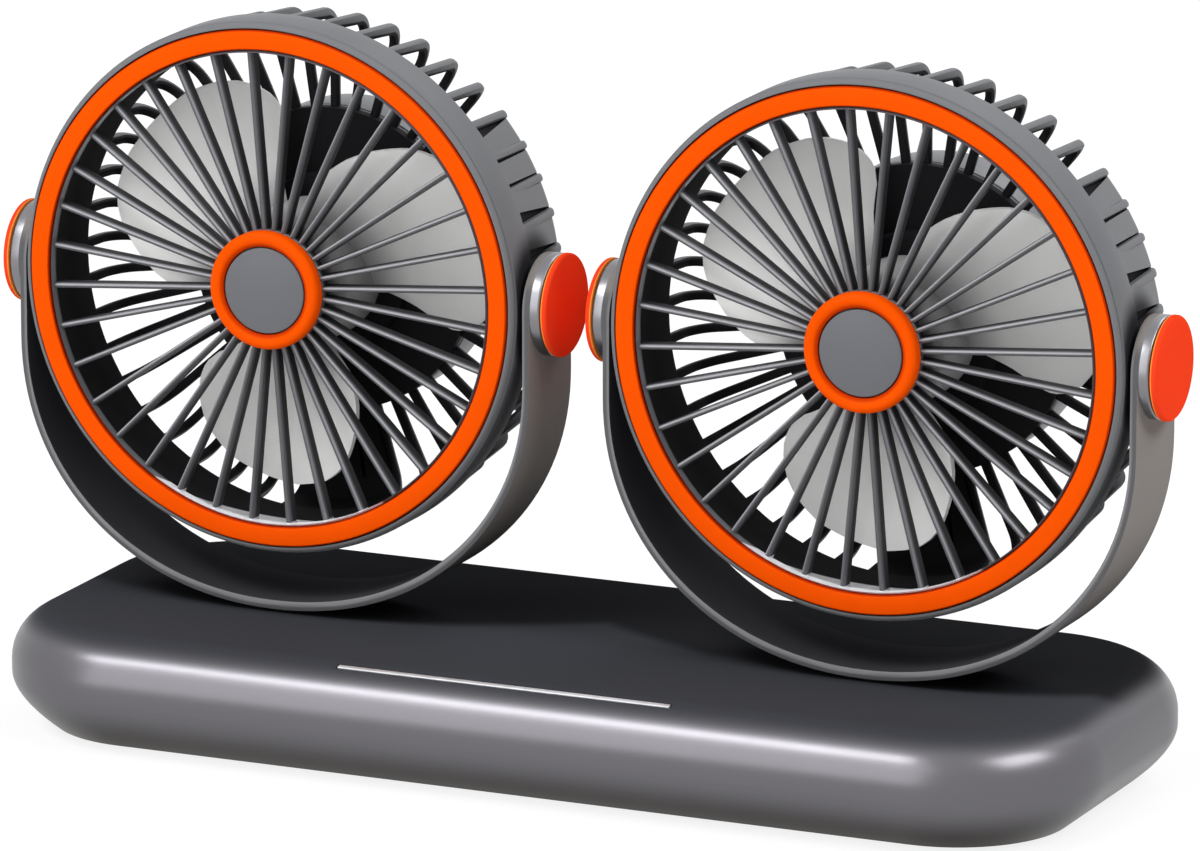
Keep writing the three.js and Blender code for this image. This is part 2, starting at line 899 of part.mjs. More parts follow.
// Rear cap: a round cup over the motor, with the button's hole in the middle of its floor.
function rearCap() {
  const innerRadius = drumRadius - capWall;
  const holeRadius = buttonRadius + seatGap;
  const edge = arc(
    drumRadius - capRounding,
    capBackY - capRounding,
    capRounding,
    0,
    90,
    shoulderSteps,
  );
  const cup = lathed(
    [
      [innerRadius, capFrontY],
      [drumRadius, capFrontY],
      ...edge,
      [holeRadius, capBackY],
      [holeRadius, capInnerY],
      [innerRadius, capInnerY],
    ],
    capSegments,
  );
  const postFrontY = motorBoardY + motorBoardThickness + seatGap;
  const posts = [1, -1].map((side) =>
    moved(
      disc(capPostRadius, postFrontY, capInnerY + weld, smallSegments),
      side * capPostX,
      0,
      0,
    ),
  );
  const seatY = capScrewHeadY() - screwHeadHeight - seatGap;
  const bosses = [1, -1].map((side) =>
    moved(
      disc(capScrewBossRadius, capFrontY, capInnerY + weld, smallSegments),
      0,
      0,
      side * capScrewZ,
    ),
  );
  const screwHoles = [1, -1].map((side) =>
    moved(
      lathed(
        [
          [0, capFrontY - overrun],
          [screwShankRadius + seatGap, capFrontY - overrun],
          [screwShankRadius + seatGap, seatY],
          [screwHeadRadius + seatGap, seatY],
          [screwHeadRadius + seatGap, capBackY + overrun],
          [0, capBackY + overrun],
        ],
        smallSegments,
      ),
      0,
      0,
      side * capScrewZ,
    ),
  );
  return cut(joined([cup, ...posts, ...bosses]), screwHoles);
}

function capScrew(side) {
  const headY = capScrewHeadY();
  const tipY = headY - capScrewLength;
  const piece = screw(
    screwHeadRadius,
    screwHeadHeight,
    screwShankRadius,
    headY,
    tipY,
    "y",
  );
  return moved(piece, 0, 0, side * capScrewZ);
}

function speedButton() {
  const flangeBackY = buttonFlangeY + buttonFlangeThickness;
  return lathed(
    [
      [0, buttonFlangeY],
      [buttonFlangeRadius, buttonFlangeY],
      [buttonFlangeRadius, flangeBackY],
      [buttonRadius, flangeBackY],
      [buttonRadius, capBackY + buttonProud],
      [0, capBackY + buttonProud],
    ],
    collarSegments,
  );
}

function motor() {
  const bore = shaftRadius + seatGap;
  return lathed(
    [
      [bore, motorFrontY - motorNoseLength],
      [motorNoseRadius, motorFrontY - motorNoseLength],
      [motorNoseRadius, motorFrontY],
      [motorRadius, motorFrontY],
      [motorRadius, motorBackY],
      [0, motorBackY],
      [0, shaftBackY + seatGap],
      [bore, shaftBackY + seatGap],
    ],
    hiddenSegments,
  );
}

function motorShaft() {
  return disc(shaftRadius, shaftFrontY, shaftBackY, smallSegments);
}

function motorBoard() {
  const backY = motorBoardY + motorBoardThickness;
  const half = switchSide / 2;
  const board = disc(motorBoardRadius, motorBoardY, backY, hiddenSegments);
  const tactSwitch = block(
    [-half, backY - motorBoardThickness / 2, -half],
    [half, backY + switchHeight, half],
  );
  return board.add(tactSwitch);
}

// A point of the blade's middle surface, which climbs as a helix from front to back.
function bladePoint(radius, angleDegrees, offset) {
  const first = Math.min(...bladeLeadingDegrees);
  const sweep = Math.max(...bladeTrailingDegrees) - first;
  const angle = angleDegrees * degrees;
  return new THREE.Vector3(
    radius * Math.sin(angle),
    bladeFrontY + (bladeRise * (angleDegrees - first)) / sweep + offset,
    radius * Math.cos(angle),
  );
}

// One blade: a helical sheet between its leading and trailing edges, thickened front to back.
function blade() {
  const rows = bladeSpanShares.length;
  const columns = bladeChordSteps + 1;
  const span = bladeTipRadius - bladeRootRadius;
  const points = [];
  for (const offset of [-bladeThickness / 2, bladeThickness / 2]) {
    for (let row = 0; row < rows; row += 1) {
      const lead = bladeLeadingDegrees[row];
      const chord = bladeTrailingDegrees[row] - lead;
      for (let column = 0; column < columns; column += 1) {
        const radius = bladeRootRadius + span * bladeSpanShares[row];
        const angle = lead + (chord * column) / bladeChordSteps;
        points.push(bladePoint(radius, angle, offset));
      }
    }
  }
  const back = rows * columns;
  const index = [];
  for (let row = 0; row + 1 < rows; row += 1) {
    for (let column = 0; column + 1 < columns; column += 1) {
      const a = row * columns + column;
      const b = a + columns;
      index.push(a, b + 1, b, a, a + 1, b + 1);
      index.push(back + a, back + b, back + b + 1);
      index.push(back + a, back + b + 1, back + a + 1);
    }
  }
  const rim = bladeRim(rows, columns);
  rim.forEach((a, i) => {
    const b = rim[(i + 1) % rim.length];
    index.push(a, back + b, b, a, back + a, back + b);
  });
  const geometry = new THREE.BufferGeometry().setFromPoints(points);
  geometry.setIndex(index);
  return solidOf(geometry);
}

// The blade grid's border, once round.
function bladeRim(rows, columns) {
  const last = rows - 1;
  const root = Array.from({ length: columns - 1 }, (_, i) => i);
  const trailing = Array.from({ length: last }, (_, i) => (i + 1) * columns - 1);
  const tip = Array.from(
    { length: columns - 1 },
    (_, i) => rows * columns - 1 - i,
  );
  const leading = Array.from({ length: last }, (_, i) => (last - i) * columns);
  return [...root, ...trailing, ...tip, ...leading];
}

function impeller() {
  const innerRadius = impellerHubRadius - impellerHubWall;
  const floorY = impellerHubFrontY + impellerHubWall;
  const boreRadius = shaftRadius + seatGap;
  const nose = arc(
    impellerHubRadius - impellerHubRounding,
    impellerHubFrontY + impellerHubRounding,
    impellerHubRounding,
    -90,
    0,
    noseSteps,
  );
  const hub = lathed(
    [
      [0, impellerHubFrontY],
      ...nose,
      [impellerHubRadius, impellerHubBackY],
      [innerRadius, impellerHubBackY],
      [innerRadius, floorY],
      [impellerBossRadius, floorY],
      [impellerBossRadius, impellerHubBackY],
      [boreRadius, impellerHubBackY],
      [boreRadius, shaftFrontY - seatGap],
      [0, shaftFrontY - seatGap],
    ],
    discSegments,
  );
  const single = blade();
  const blades = Array.from({ length: bladeCount }, (_, i) =>
    single.rotate([0, firstBladeDegrees + (360 * i) / bladeCount, 0]),
  );
  const hubSpace = disc(
    impellerHubRadius - impellerHubWall / 2,
    impellerHubFrontY,
    impellerHubBackY + overrun,
    discSegments,
  );
  return joined([hub, ...blades.map((one) => one.subtract(hubSpace))]);
}

// Half of the yoke's U, from the right arm down to the middle: a straight arm, then a full
// ellipse.
function yokeCurve(halfWidth, drop) {
  return Array.from({ length: yokeSteps + 1 }, (_, i) => {
    const angle = (Math.PI * i) / yokeSteps;
    const across = Math.cos(angle);
    const down = Math.sin(angle);
    const power = 2 / yokeFullness;
    return [
      halfWidth * Math.sign(across) * Math.abs(across) ** power,
      -yokeStraightDrop - drop * down ** power,
    ];
  });
}

function yoke() {
  const armTop = yokeDepth / 2;
  const outerDrop = -yokeBottomZ - yokeStraightDrop;
  const innerDrop = outerDrop - yokeBottomThickness;
  const outline = [
    [yokeInner, armTop],
    [yokeHalfWidth, armTop],
    ...yokeCurve(yokeHalfWidth, outerDrop),
    [-yokeHalfWidth, armTop],
    [-yokeInner, armTop],
    ...yokeCurve(yokeInner, innerDrop).reverse(),
  ];
  const band = prism(outline, "y", -yokeDepth / 2, yokeDepth / 2, yokeEdge);
  const sideView = [
    [-armTop, yokeBottomZ - overrun],
    [armTop, yokeBottomZ - overrun],
    ...arc(0, 0, armTop, 0, 180, discSegments / 2),
  ];
  const rounded = band.intersect(
    prism(sideView, "x", -yokeHalfWidth - overrun, yokeHalfWidth + overrun),
  );
  const cavityRadius = pivotWasherRadius + seatGap + pivotWasherClearance;
  const bosses = [1, -1].map((side) =>
    washer(
      cavityRadius,
      armTop,
      side * (yokeHalfWidth - weld),
      side * armBossFace,
      discSegments,
      "x",
    ),
  );
  const pivotHoles = [1, -1].map((side) =>
    disc(
      pivotShankRadius + seatGap,
      side * (yokeInner - overrun),
      side * (yokeHalfWidth + overrun),
      smallSegments,
      "x",
    ),
  );
  const pegLow = yokeBottomZ - pegLength;
  const peg = disc(pegRadius, pegLow, yokeBottomZ + weld, hiddenSegments, "z");
  const bore = disc(pegBore, pegLow - overrun, yokeBottomZ, smallSegments, "z");
  return cut(joined([rounded, ...bosses, peg]), [...pivotHoles, bore]);
}

// A pivot's pieces lie along X, on the side given as 1 or -1.
function pivotScrew(side) {
  return screw(
    pivotHeadRadius,
    pivotHeadHeight,
    pivotShankRadius,
    side * (pivotHeadFace + pivotHeadHeight),
    side * (ductInner + pivotBossWall + seatGap),
    "x",
  );
}

function pivotWasher(side) {
  return washer(
    pivotShankRadius + seatGap,
    pivotWasherRadius,
    side * pivotWasherFace,
    side * (pivotWasherFace + pivotWasherThickness),
    smallSegments,
    "x",
  );
}

function pivotCap(side) {
  const radius = yokeDepth / 2 + pivotCapOverhang;
  const inner = armBossFace + seatGap;
  const outer = inner + pivotCapThickness;
  return lathed(
    [
      [0, side * inner],
      [radius, side * inner],
      [radius, side * (outer - pivotCapChamfer)],
      [radius - pivotCapChamfer, side * outer],
      [0, side * outer],
    ],
    discSegments,
    "x",
  );
}

// Swivel pieces lie round the yoke's peg, and are placed from the base's top.
function swivelWasher() {
  const low = -pivotRise - swivelRecessDepth + seatGap;
  const high = yokeBottomZ - seatGap;
  const inner = pegRadius + seatGap;
  return washer(inner, swivelWasherRadius, low, high, collarSegments, "z");
}

function swivelSpring() {
  const high = -pivotRise - shellWall - seatGap;
  const low = high - swivelSpringThickness;
  const inner = pegRadius + seatGap;
  return washer(inner, swivelSpringRadius, low, high, hiddenSegments, "z");
}

function swivelNut() {
  const high = -pivotRise - shellWall - swivelSpringThickness - 2 * seatGap;
  const low = high - swivelNutHeight;
  const hexagon = lathed(
    [
      [0, low],
      [swivelNutRadius, low],
      [swivelNutRadius, high],
      [0, high],
    ],
    nutSides,
    "z",
  );
  const bore = disc(
    pegRadius + seatGap,
    low - overrun,
    high + overrun,
    hiddenSegments,
    "z",
  );
  return hexagon.subtract(bore);
}

function part(name, solid, finish) {
  const mesh = new THREE.Mesh(
    geometryOf(solid),
    new THREE.MeshStandardMaterial(finishes[finish]),
  );
  mesh.name = name;
  return mesh;
}

// Solids that both heads share.
const headSolids = {
  housing: rearHousing(),
  grille: frontGrille(),
  trimRing: trimRing(),
  hubRing: hubRing(),
  cap: rearCap(),
  upperScrew: capScrew(1),
  lowerScrew: capScrew(-1),
  button: speedButton(),
  motor: motor(),
  shaft: motorShaft(),
  board: motorBoard(),
  impeller: impeller(),
  yoke: yoke(),
  washer: swivelWasher(),
  spring: swivelSpring(),
  nut: swivelNut(),
};

// One head: the yoke turns about Z, the head tilts in it about X, and the impeller spins
// about Y. outward is 1 where the outer arm is on +X.
function fanHead(side, outward) {
  const rotor = new THREE.Group();
  rotor.add(
    part(side + "_motor_shaft", headSolids.shaft, "steel"),
    part(side + "_impeller", headSolids.impeller, "bladePlastic"),
  );
  const head = new THREE.Group();
  head.add(
    part(side + "_rear_housing", headSolids.housing, "greyPlastic"),
    part(side + "_front_grille", headSolids.grille, "greyPlastic"),
    part(side + "_trim_ring", headSolids.trimRing, "orangePlastic"),
    part(side + "_hub_ring", headSolids.hubRing, "orangePlastic"),
    part(side + "_rear_cap", headSolids.cap, "greyPlastic"),
    part(side + "_cap_screw_upper", headSolids.upperScrew, "steel"),
    part(side + "_cap_screw_lower", headSolids.lowerScrew, "steel"),
    part(side + "_speed_button", headSolids.button, "redPlastic"),
    part(side + "_motor", headSolids.motor, "steel"),
    part(side + "_motor_board", headSolids.board, "circuitBoard"),
    part(side + "_outer_pivot_screw", pivotScrew(outward), "steel"),
    part(side + "_inner_pivot_screw", pivotScrew(-outward), "steel"),
    rotor,
  );
  const swivel = new THREE.Group();
  swivel.add(
    part(side + "_yoke", headSolids.yoke, "yokePlastic"),
    part(side + "_outer_pivot_washer", pivotWasher(outward), "steel"),
    part(side + "_inner_pivot_washer", pivotWasher(-outward), "steel"),
    part(side + "_outer_pivot_cap", pivotCap(outward), "redPlastic"),
    part(side + "_inner_pivot_cap", pivotCap(-outward), "redPlastic"),
    part(side + "_swivel_nut", headSolids.nut, "steel"),
    part(side + "_swivel_spring", headSolids.spring, "steel"),
    head,
  );
  const place = new THREE.Group();
  place.add(
    swivel,
    part(side + "_swivel_washer", headSolids.washer, "darkPlastic"),
  );
  place.position.set((outward * headSpacing) / 2, -swivelForward, pivotZ);
  return place;
}

function baseScrew() {
  const headLow = footStandOff;
  return screw(
    screwHeadRadius,
    screwHeadHeight,
    screwShankRadius,
    headLow,
    headLow + baseScrewLength,
    "z",
  );
}

function base() {
  const group = new THREE.Group();
  group.add(
    part("base_top_shell", baseTopShell(), "darkPlastic"),
    part("base_bottom_plate", baseBottomPlate(), "darkPlastic"),
    part("ballast_weight", ballastWeight(), "castIron"),
    part("power_board", powerBoard(), "circuitBoard"),
    part("power_inlet", powerInlet(), "steel"),
    part("trim_strip", trimStrip(), "silverTrim"),
  );
  const footSolid = disc(footRadius, 0, footHeight, hiddenSegments, "z");
  for (const [place, x, y] of fourPlaces(footX, footY)) {
    const foot = part("foot_" + place, footSolid, "blackRubber");
    foot.position.set(x, y, 0);
    group.add(foot);
  }
  const screwSolid = baseScrew();
  for (const [place, x, y] of fourPlaces(baseScrewX, baseScrewY)) {
    const piece = part("base_screw_" + place, screwSolid, "steel");
    piece.position.set(x, y, 0);
    group.add(piece);
  }
  return group;
}

const group = new THREE.Group();
group.add(base(), fanHead("left", -1), fanHead("right", 1));

export default group;
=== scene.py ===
"""Dual head desk fan: moulded detail, finishes, floor, lamps and camera for its frame.

Metres, +Z up, front towards -Y. A head's pieces are shaped round its tilt pivot and then
moved there. Round pieces are turned about Y from corners of (radius, place), where a third
number rounds the corner and a fourth sets its steps.
"""

import json
import math

import bmesh
import bpy
from mathutils import Matrix, Vector


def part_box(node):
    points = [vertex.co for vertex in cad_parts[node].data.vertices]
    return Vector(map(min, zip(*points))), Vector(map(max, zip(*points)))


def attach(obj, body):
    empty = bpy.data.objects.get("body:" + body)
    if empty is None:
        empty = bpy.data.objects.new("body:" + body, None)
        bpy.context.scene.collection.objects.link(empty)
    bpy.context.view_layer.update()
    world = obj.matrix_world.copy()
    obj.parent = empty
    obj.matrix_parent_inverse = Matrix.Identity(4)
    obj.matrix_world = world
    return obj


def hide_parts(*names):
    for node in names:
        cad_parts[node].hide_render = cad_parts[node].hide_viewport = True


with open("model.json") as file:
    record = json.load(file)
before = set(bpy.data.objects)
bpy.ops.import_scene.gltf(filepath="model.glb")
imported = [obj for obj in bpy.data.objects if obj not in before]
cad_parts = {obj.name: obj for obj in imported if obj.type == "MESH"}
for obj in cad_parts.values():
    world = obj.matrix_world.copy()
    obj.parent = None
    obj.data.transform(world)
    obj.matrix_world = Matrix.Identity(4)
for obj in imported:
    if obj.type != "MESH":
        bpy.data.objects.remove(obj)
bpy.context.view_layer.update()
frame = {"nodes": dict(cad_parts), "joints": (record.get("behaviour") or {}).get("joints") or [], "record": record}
PIVOTS = {
    side: Vector(next(j["pos_m"] for j in frame["joints"] if j["name"] == side + "_tilt"))
    for side in ("left", "right")
}
BASE_LOW, BASE_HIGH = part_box("base_top_shell")

bl_info = {
    "name": "Dual Head Desk Fan",
    "version": (1, 0, 0),
    "blender": (4, 5, 0),
    "location": "3D View > Sidebar > Desk Fan",
    "description": "Dresses the desk fan's frame with moulded detail and finishes",
    "category": "Object",
}

ROUND = 3
WHOLE_TURN = math.tau
# Steps to a whole turn
RING, RIM, DRUM, HUB, PIN, POST, SHANK = 192, 144, 128, 96, 48, 32, 16
# Roundings of moulded edges
CRISP, SOFT, EASED, MILD, FULL = 0.0001, 0.0002, 0.0003, 0.0004, 0.0005
# Depths of grain
SATIN_GRAIN, PAINT_GRAIN, FINE_GRAIN = 0.00001, 0.000008, 0.000006
SMOOTH_BELOW = math.radians(38)
FINISHES = {}


def size(name, description, default):
    return bpy.props.FloatProperty(
        name=name, description=description, default=default, precision=4, unit="LENGTH"
    )


def angle(name, description, degrees):
    turn = math.radians(degrees)
    return bpy.props.FloatProperty(
        name=name, description=description, default=turn, unit="ROTATION"
    )


def count(name, description, default):
    return bpy.props.IntProperty(
        name=name, description=description, default=default, min=1
    )


def colour(name, description, default):
    return bpy.props.FloatVectorProperty(
        name=name, description=description, default=default, subtype="COLOR", min=0, max=1
    )


class FanBaseSizes(bpy.types.PropertyGroup):
    """Sizes of the base."""

    corner: size("Corner", "Radius of the base's corners seen from above", 0.0338)
    fillet: size("Top fillet", "Radius where the top turns down to the side", 0.0107)
    taper_inset: size("Taper inset", "How far the foot of the side is drawn in", 0.009)
    taper_height: size("Taper height", "Height at which the side is widest", 0.0115)
    taper_pull: size("Taper pull", "Height of the taper curve's middle point", 0.007)
    wall: size("Wall", "Thickness of the shell", 0.0022)
    recess_radius: size("Recess radius", "Radius of the swivel washer's recess", 0.0089)
    recess_depth: size("Recess depth", "Depth of the swivel washer's recess", 0.0009)
    peg_hole: size("Peg hole", "Radius of the hole for the yoke's peg", 0.0053)
    strip_setback: size("Strip setback", "How far behind the front the strip is", 0.0073)
    strip_width: size("Strip width", "Width of the trim strip", 0.0012)
    strip_groove: size("Strip groove", "Width of the groove it lies in", 0.0018)
    strip_depth: size("Strip depth", "How far the strip reaches down", 0.0008)
    groove_depth: size("Groove depth", "Depth of that groove", 0.0011)
    inlet_play: size("Inlet play", "Play round the power inlet", 0.0003)
    inlet_corner: size("Inlet corner", "Rounding of the inlet's mouth", 0.0016)
    foot_edge: size("Foot edge", "Rounding under the rubber feet", 0.0004)
    shank: size("Shank radius", "Radius of a screw's shank", 0.0012)
    shank_length: size("Shank length", "Length of a base screw's shank", 0.013)
    screw_head: size("Screw head", "Height of a screw's head", 0.001)


class FanHeadSizes(bpy.types.PropertyGroup):
    """Sizes of the housing, grille and rings. Places are measured from the pivot."""

    band: size("Band radius", "Outer radius of the band round the front", 0.05845)
    lip_front: size("Lip front", "Place of the band's front edge", -0.0133)
    lip_bevel: size("Lip bevel", "Width of the bevel on the band's front edge", 0.0009)
    groove: size("Lip groove", "Depth of the fine groove behind the lip", 0.0002)
    band_back: size("Band back", "Place where the band ends and the ribs begin", -0.0024)
    recess: size("Ring recess", "Inner radius of the band round the trim ring", 0.05705)
    ledge: size("Ring ledge", "Place of the ledge that carries the grille", -0.0092)
    duct_outer: size("Duct outer", "Outer radius of the air duct", 0.0563)
    duct_inner: size("Duct inner", "Inner radius of the air duct", 0.0543)
    duct_back: size("Duct back", "Place where the closed sectors begin inside", 0.0041)
    # Where the painted pale patch of light low inside the duct ends.
    light_patch_back: size("Pale back", "Place where the duct's pale foot ends", -0.0005)
    throat: size("Throat", "Inner radius of the air duct where it ends", 0.053)
    throat_wall: size("Throat wall", "Thickness of the duct where it ends", 0.0008)
    throat_back: size("Throat back", "Place where the air duct ends", 0.0065)
    rib_count: count("Ribs", "Ribs round the back of one head", 44)
    rib_width: size("Rib width", "Thickness of one rib", 0.0019)
    rib_edge: size("Rib edge", "Rounding along the rib's edges", 0.0006)
    rib_setback: size("Rib setback", "How far a rib lies below the band", 0.0004)
    shoulder: size("Shoulder", "Radius of the middle of the shoulder's arc", 0.049)
    shoulder_place: size("Shoulder place", "Place of the middle of that arc", 0.0158)
    shoulder_arc: size("Shoulder arc", "Outer radius of the shoulder's arc", 0.0068)
    rib_depth: size("Rib depth", "How far a rib reaches in from its outer side", 0.0024)
    plate: size("Motor plate", "Thickness of the plate behind the motor", 0.0034)
    wall_setback: size("Wall setback", "How far a sector lies below the ribs", 0.0008)
    wide_groove: size("Wide groove", "Front width of the wide side grooves", 0.0026)
    fine_groove: size("Fine groove", "Width of the fine side grooves", 0.0007)
    groove_depth: size("Groove depth", "Depth of the side grooves", 0.0018)
    side_wall_start: count("Side wall start", "Rib at which the side wall starts", 6)
    side_wall_end: count("Side wall end", "Rib at which the side wall ends", 13)
    floor_wall_start: count("Floor wall start", "Rib at which the lower wall starts", 20)
    floor_wall_end: count("Floor wall end", "Rib at which the lower wall ends", 23)
    drum: size("Drum radius", "Outer radius of the drum behind the ribs", 0.0336)
    seat: size("Motor seat", "Radius of the motor's raised seat", 0.0196)
    seat_height: size("Seat height", "How far the seat stands into the duct", 0.0034)
    boss: size("Pivot boss", "Radius of the boss at each pivot", 0.006)
    boss_face: size("Boss face", "How far out the pivot boss reaches", 0.0589)
    ring_outer: size("Trim ring outer", "Outer radius of the trim ring", 0.05675)
    ring_inner: size("Trim ring inner", "Inner radius of the trim ring", 0.05185)
    ring_front: size("Trim ring front", "Place of the trim ring's face", -0.0138)
    collar: size("Grille collar", "Width of the grille's collar in the ring", 0.0005)
    ring_back: size("Trim ring back", "Place of the trim ring's back", -0.0116)
    slat_count: count("Slats", "Slats in one grille", 36)
    slat_phase: angle("Slat phase", "Clock angle of the first slat", 5.3)
    slat_front: size("Slat front", "Place of the slats' front edges", -0.0126)
    slat_back: size("Slat back", "Place of the slats' back edges", -0.0095)
    slat_thin: size("Slat front width", "Width of a slat at its front edge", 0.0009)
    slat_thick: size("Slat back width", "Width of a slat at its back edge", 0.0013)
    rim_inner: size("Grille rim", "Inner radius of the grille's rim", 0.0534)
    rim_front: size("Rim front", "Place of the grille rim's front", -0.0113)
    hub_outer: size("Hub ring outer", "Outer radius of the hub ring", 0.013)
    hub_inner: size("Hub ring inner", "Inner radius of the hub ring", 0.0097)
    hub_front: size("Hub ring front", "Place of the hub ring's face", -0.0154)
    hub_back: size("Hub ring back", "Place of the hub ring's back", -0.0129)
    hub_slope: size("Hub slope", "Width of the slope inside the hub ring", 0.0013)
    hub_face: size("Hub face", "Place of the disc inside the hub ring", -0.0146)
    cap_back: size("Cap back", "Place of the rear cap's outer face", 0.037)
    cap_front: size("Cap front", "Place of the rear cap's open edge", 0.0229)
    cap_wall: size("Cap wall", "Thickness of the rear cap", 0.002)
    cap_rounding: size("Cap rounding", "Rounding of the rear cap's edge", 0.003)
    cap_screws: size("Cap screws", "How far each cap screw is from the middle", 0.027)
    button: size("Button radius", "Radius of the speed button", 0.0055)
    flange: size("Button flange", "Radius of the button's flange", 0.007)
    flange_depth: size("Flange depth", "Thickness of that flange", 0.0011)
    post: size("Screw post", "Radius of a cap screw's post", 0.0032)
    well: size("Screw well", "Radius of the well over a cap screw", 0.0029)
    well_depth: size("Well depth", "Depth of that well", 0.0024)
    screw: size("Cap screw head", "Radius of a cap screw's head", 0.0026)
    shank_length: size("Shank length", "Length of a cap screw's shank", 0.0124)
    gap: size("Gap", "Play between pieces that touch", 0.0003)


class FanImpellerSizes(bpy.types.PropertyGroup):
    """Sizes of the impeller. Places are measured from the pivot."""

    blades: count("Blades", "Blades on one impeller", 3)
    first_blade: angle("First blade", "Clock angle of the first blade's middle", 68)
    tip: size("Tip radius", "Radius of the blades' tips", 0.0467)
    thickness: size("Blade thickness", "Thickness of a blade", 0.0012)
    front: size("Blade front", "Place of the blades' leading edges", -0.0046)
    rise: size("Blade rise", "How far a blade climbs to its trailing edge", 0.0156)
    hub: size("Hub radius", "Radius of the impeller's hub", 0.0156)
    hub_front: size("Hub front", "Place of the hub's closed end", -0.008)
    hub_back: size("Hub back", "Place of the hub's open end", 0.0115)
    hub_wall: size("Hub wall", "Thickness of the hub's wall", 0.0016)
    hub_rounding: size("Hub rounding", "Rounding of the hub's front edge", 0.0022)
    socket: size("Shaft socket", "Outer radius of the shaft's socket", 0.0036)
    shaft: size("Shaft hole", "Radius of the hole for the shaft", 0.0018)
    shaft_end: size("Shaft end", "Place where that hole ends", -0.0053)


class FanYokeSizes(bpy.types.PropertyGroup):
    """Sizes of the yoke and its pivots, measured from the tilt pivot."""

    half_width: size("Half width", "From the pivot to an arm's outer face", 0.0609)
    thickness: size("Thickness", "Thickness of an arm", 0.0017)
    bottom_thickness: size("Bottom thickness", "Thickness under the head", 0.0022)
    depth: size("Depth", "Width of the band from front to back", 0.0222)
    straight: size("Straight drop", "Length of an arm that is straight", 0.0164)
    bottom: size("Bottom", "How far the yoke's underside is below the pivot", 0.0717)
    fullness: bpy.props.FloatProperty(
        name="Fullness",
        description="Power of the bend's outline, 2 for an ellipse",
        default=2.1,
    )
    edge: size("Edge", "Rounding along the yoke's edges", 0.0005)
    gap: size("Gap", "Play between a pivot's boss and its cap", 0.0003)
    boss_face: size("Boss face", "How far out the boss round a pivot reaches", 0.0633)
    boss_wall: size("Boss wall", "Thickness of that boss's wall", 0.003)
    cap: size("Cap radius", "Radius of the coloured pivot cap", 0.0112)
    cap_thickness: size("Cap thickness", "Thickness of the pivot cap", 0.0014)
    cap_chamfer: size("Cap chamfer", "Chamfer round the pivot cap", 0.0004)
    peg: size("Peg radius", "Radius of the swivel peg", 0.005)
    peg_length: size("Peg length", "Length of the swivel peg", 0.009)
    peg_bore: size("Peg bore", "Radius of the hole up the peg", 0.0032)


class FanColours(bpy.types.PropertyGroup):
    """Colours of the finishes."""

    grey: colour("Grey plastic", "Housings, grilles and caps", (0.125, 0.13, 0.143))
    housing: colour("Housing plastic", "Bands and ribs", (0.168, 0.171, 0.18))
    # Painted light: the pale patch painted low inside the front of each head, standing in for light that falls
    # there.
    pale: colour("Pale duct", "Foot of the air duct's front", (0.85, 0.85, 0.88))
    # Painted light on the slats' front edges: the slat tone where they face sideways, the paler edge tone as a
    # painted highlight where they face up.
    slat: colour("Slat", "Front edges of upright slats", (0.085, 0.085, 0.092))
    edge: colour("Slat edge", "Upper edges of the slats", (0.33, 0.33, 0.35))
    shade: colour("Shade", "Inner sides of housings and grilles", (0.017, 0.017, 0.019))
    yoke: colour("Yoke plastic", "Yokes", (0.24, 0.222, 0.21))
    # Painted light on the yokes' front edges: a darker painted shade with a painted highlight along their inner
    # half.
    yoke_front_shade: colour("Yoke edge", "Front edges of the yokes", (0.115, 0.115, 0.121))
    yoke_front_highlight: colour("Yoke line", "Inner half of those edges", (0.23, 0.23, 0.24))
    boss: colour("Pivot boss", "Bosses round the yokes' pivots", (0.22, 0.22, 0.235))
    # Painted light on the base: both top tones are darker than the side as a painted dark reflection, the rear one
    # also in painted shade of the heads, and the foot tone is painted shade.
    base_top: colour("Base top", "Rear of the base's flat top", (0.02, 0.0205, 0.023))
    base_front: colour("Base front", "Front of the base's flat top", (0.046, 0.048, 0.055))
    base_side: colour("Base side", "Side of the base", (0.143, 0.139, 0.15))
    base_foot_shade: colour("Base foot", "Drawn-in foot of the side", (0.02, 0.0165, 0.014))
    orange: colour("Orange", "Trim rings and hub rings", (0.86, 0.082, 0.0))
    orange_shade: colour("Orange shade", "Edges of the rings", (0.35, 0.01, 0.0))
    red: colour("Red", "Pivot caps and speed buttons", (0.9, 0.055, 0.015))
    # Painted highlight: a bright line along each pivot cap's inner edge.
    cap_highlight: colour("Cap edge", "Inner edges of the pivot caps", (1.0, 0.3, 0.05))
    blade: colour("Blades", "Impeller blades", (0.94, 0.935, 0.925))
    hub: colour("Impeller hub", "Middle of the impeller", (0.42, 0.42, 0.42))
    silver: colour("Silver", "Trim strip in the base", (0.74, 0.76, 0.78))


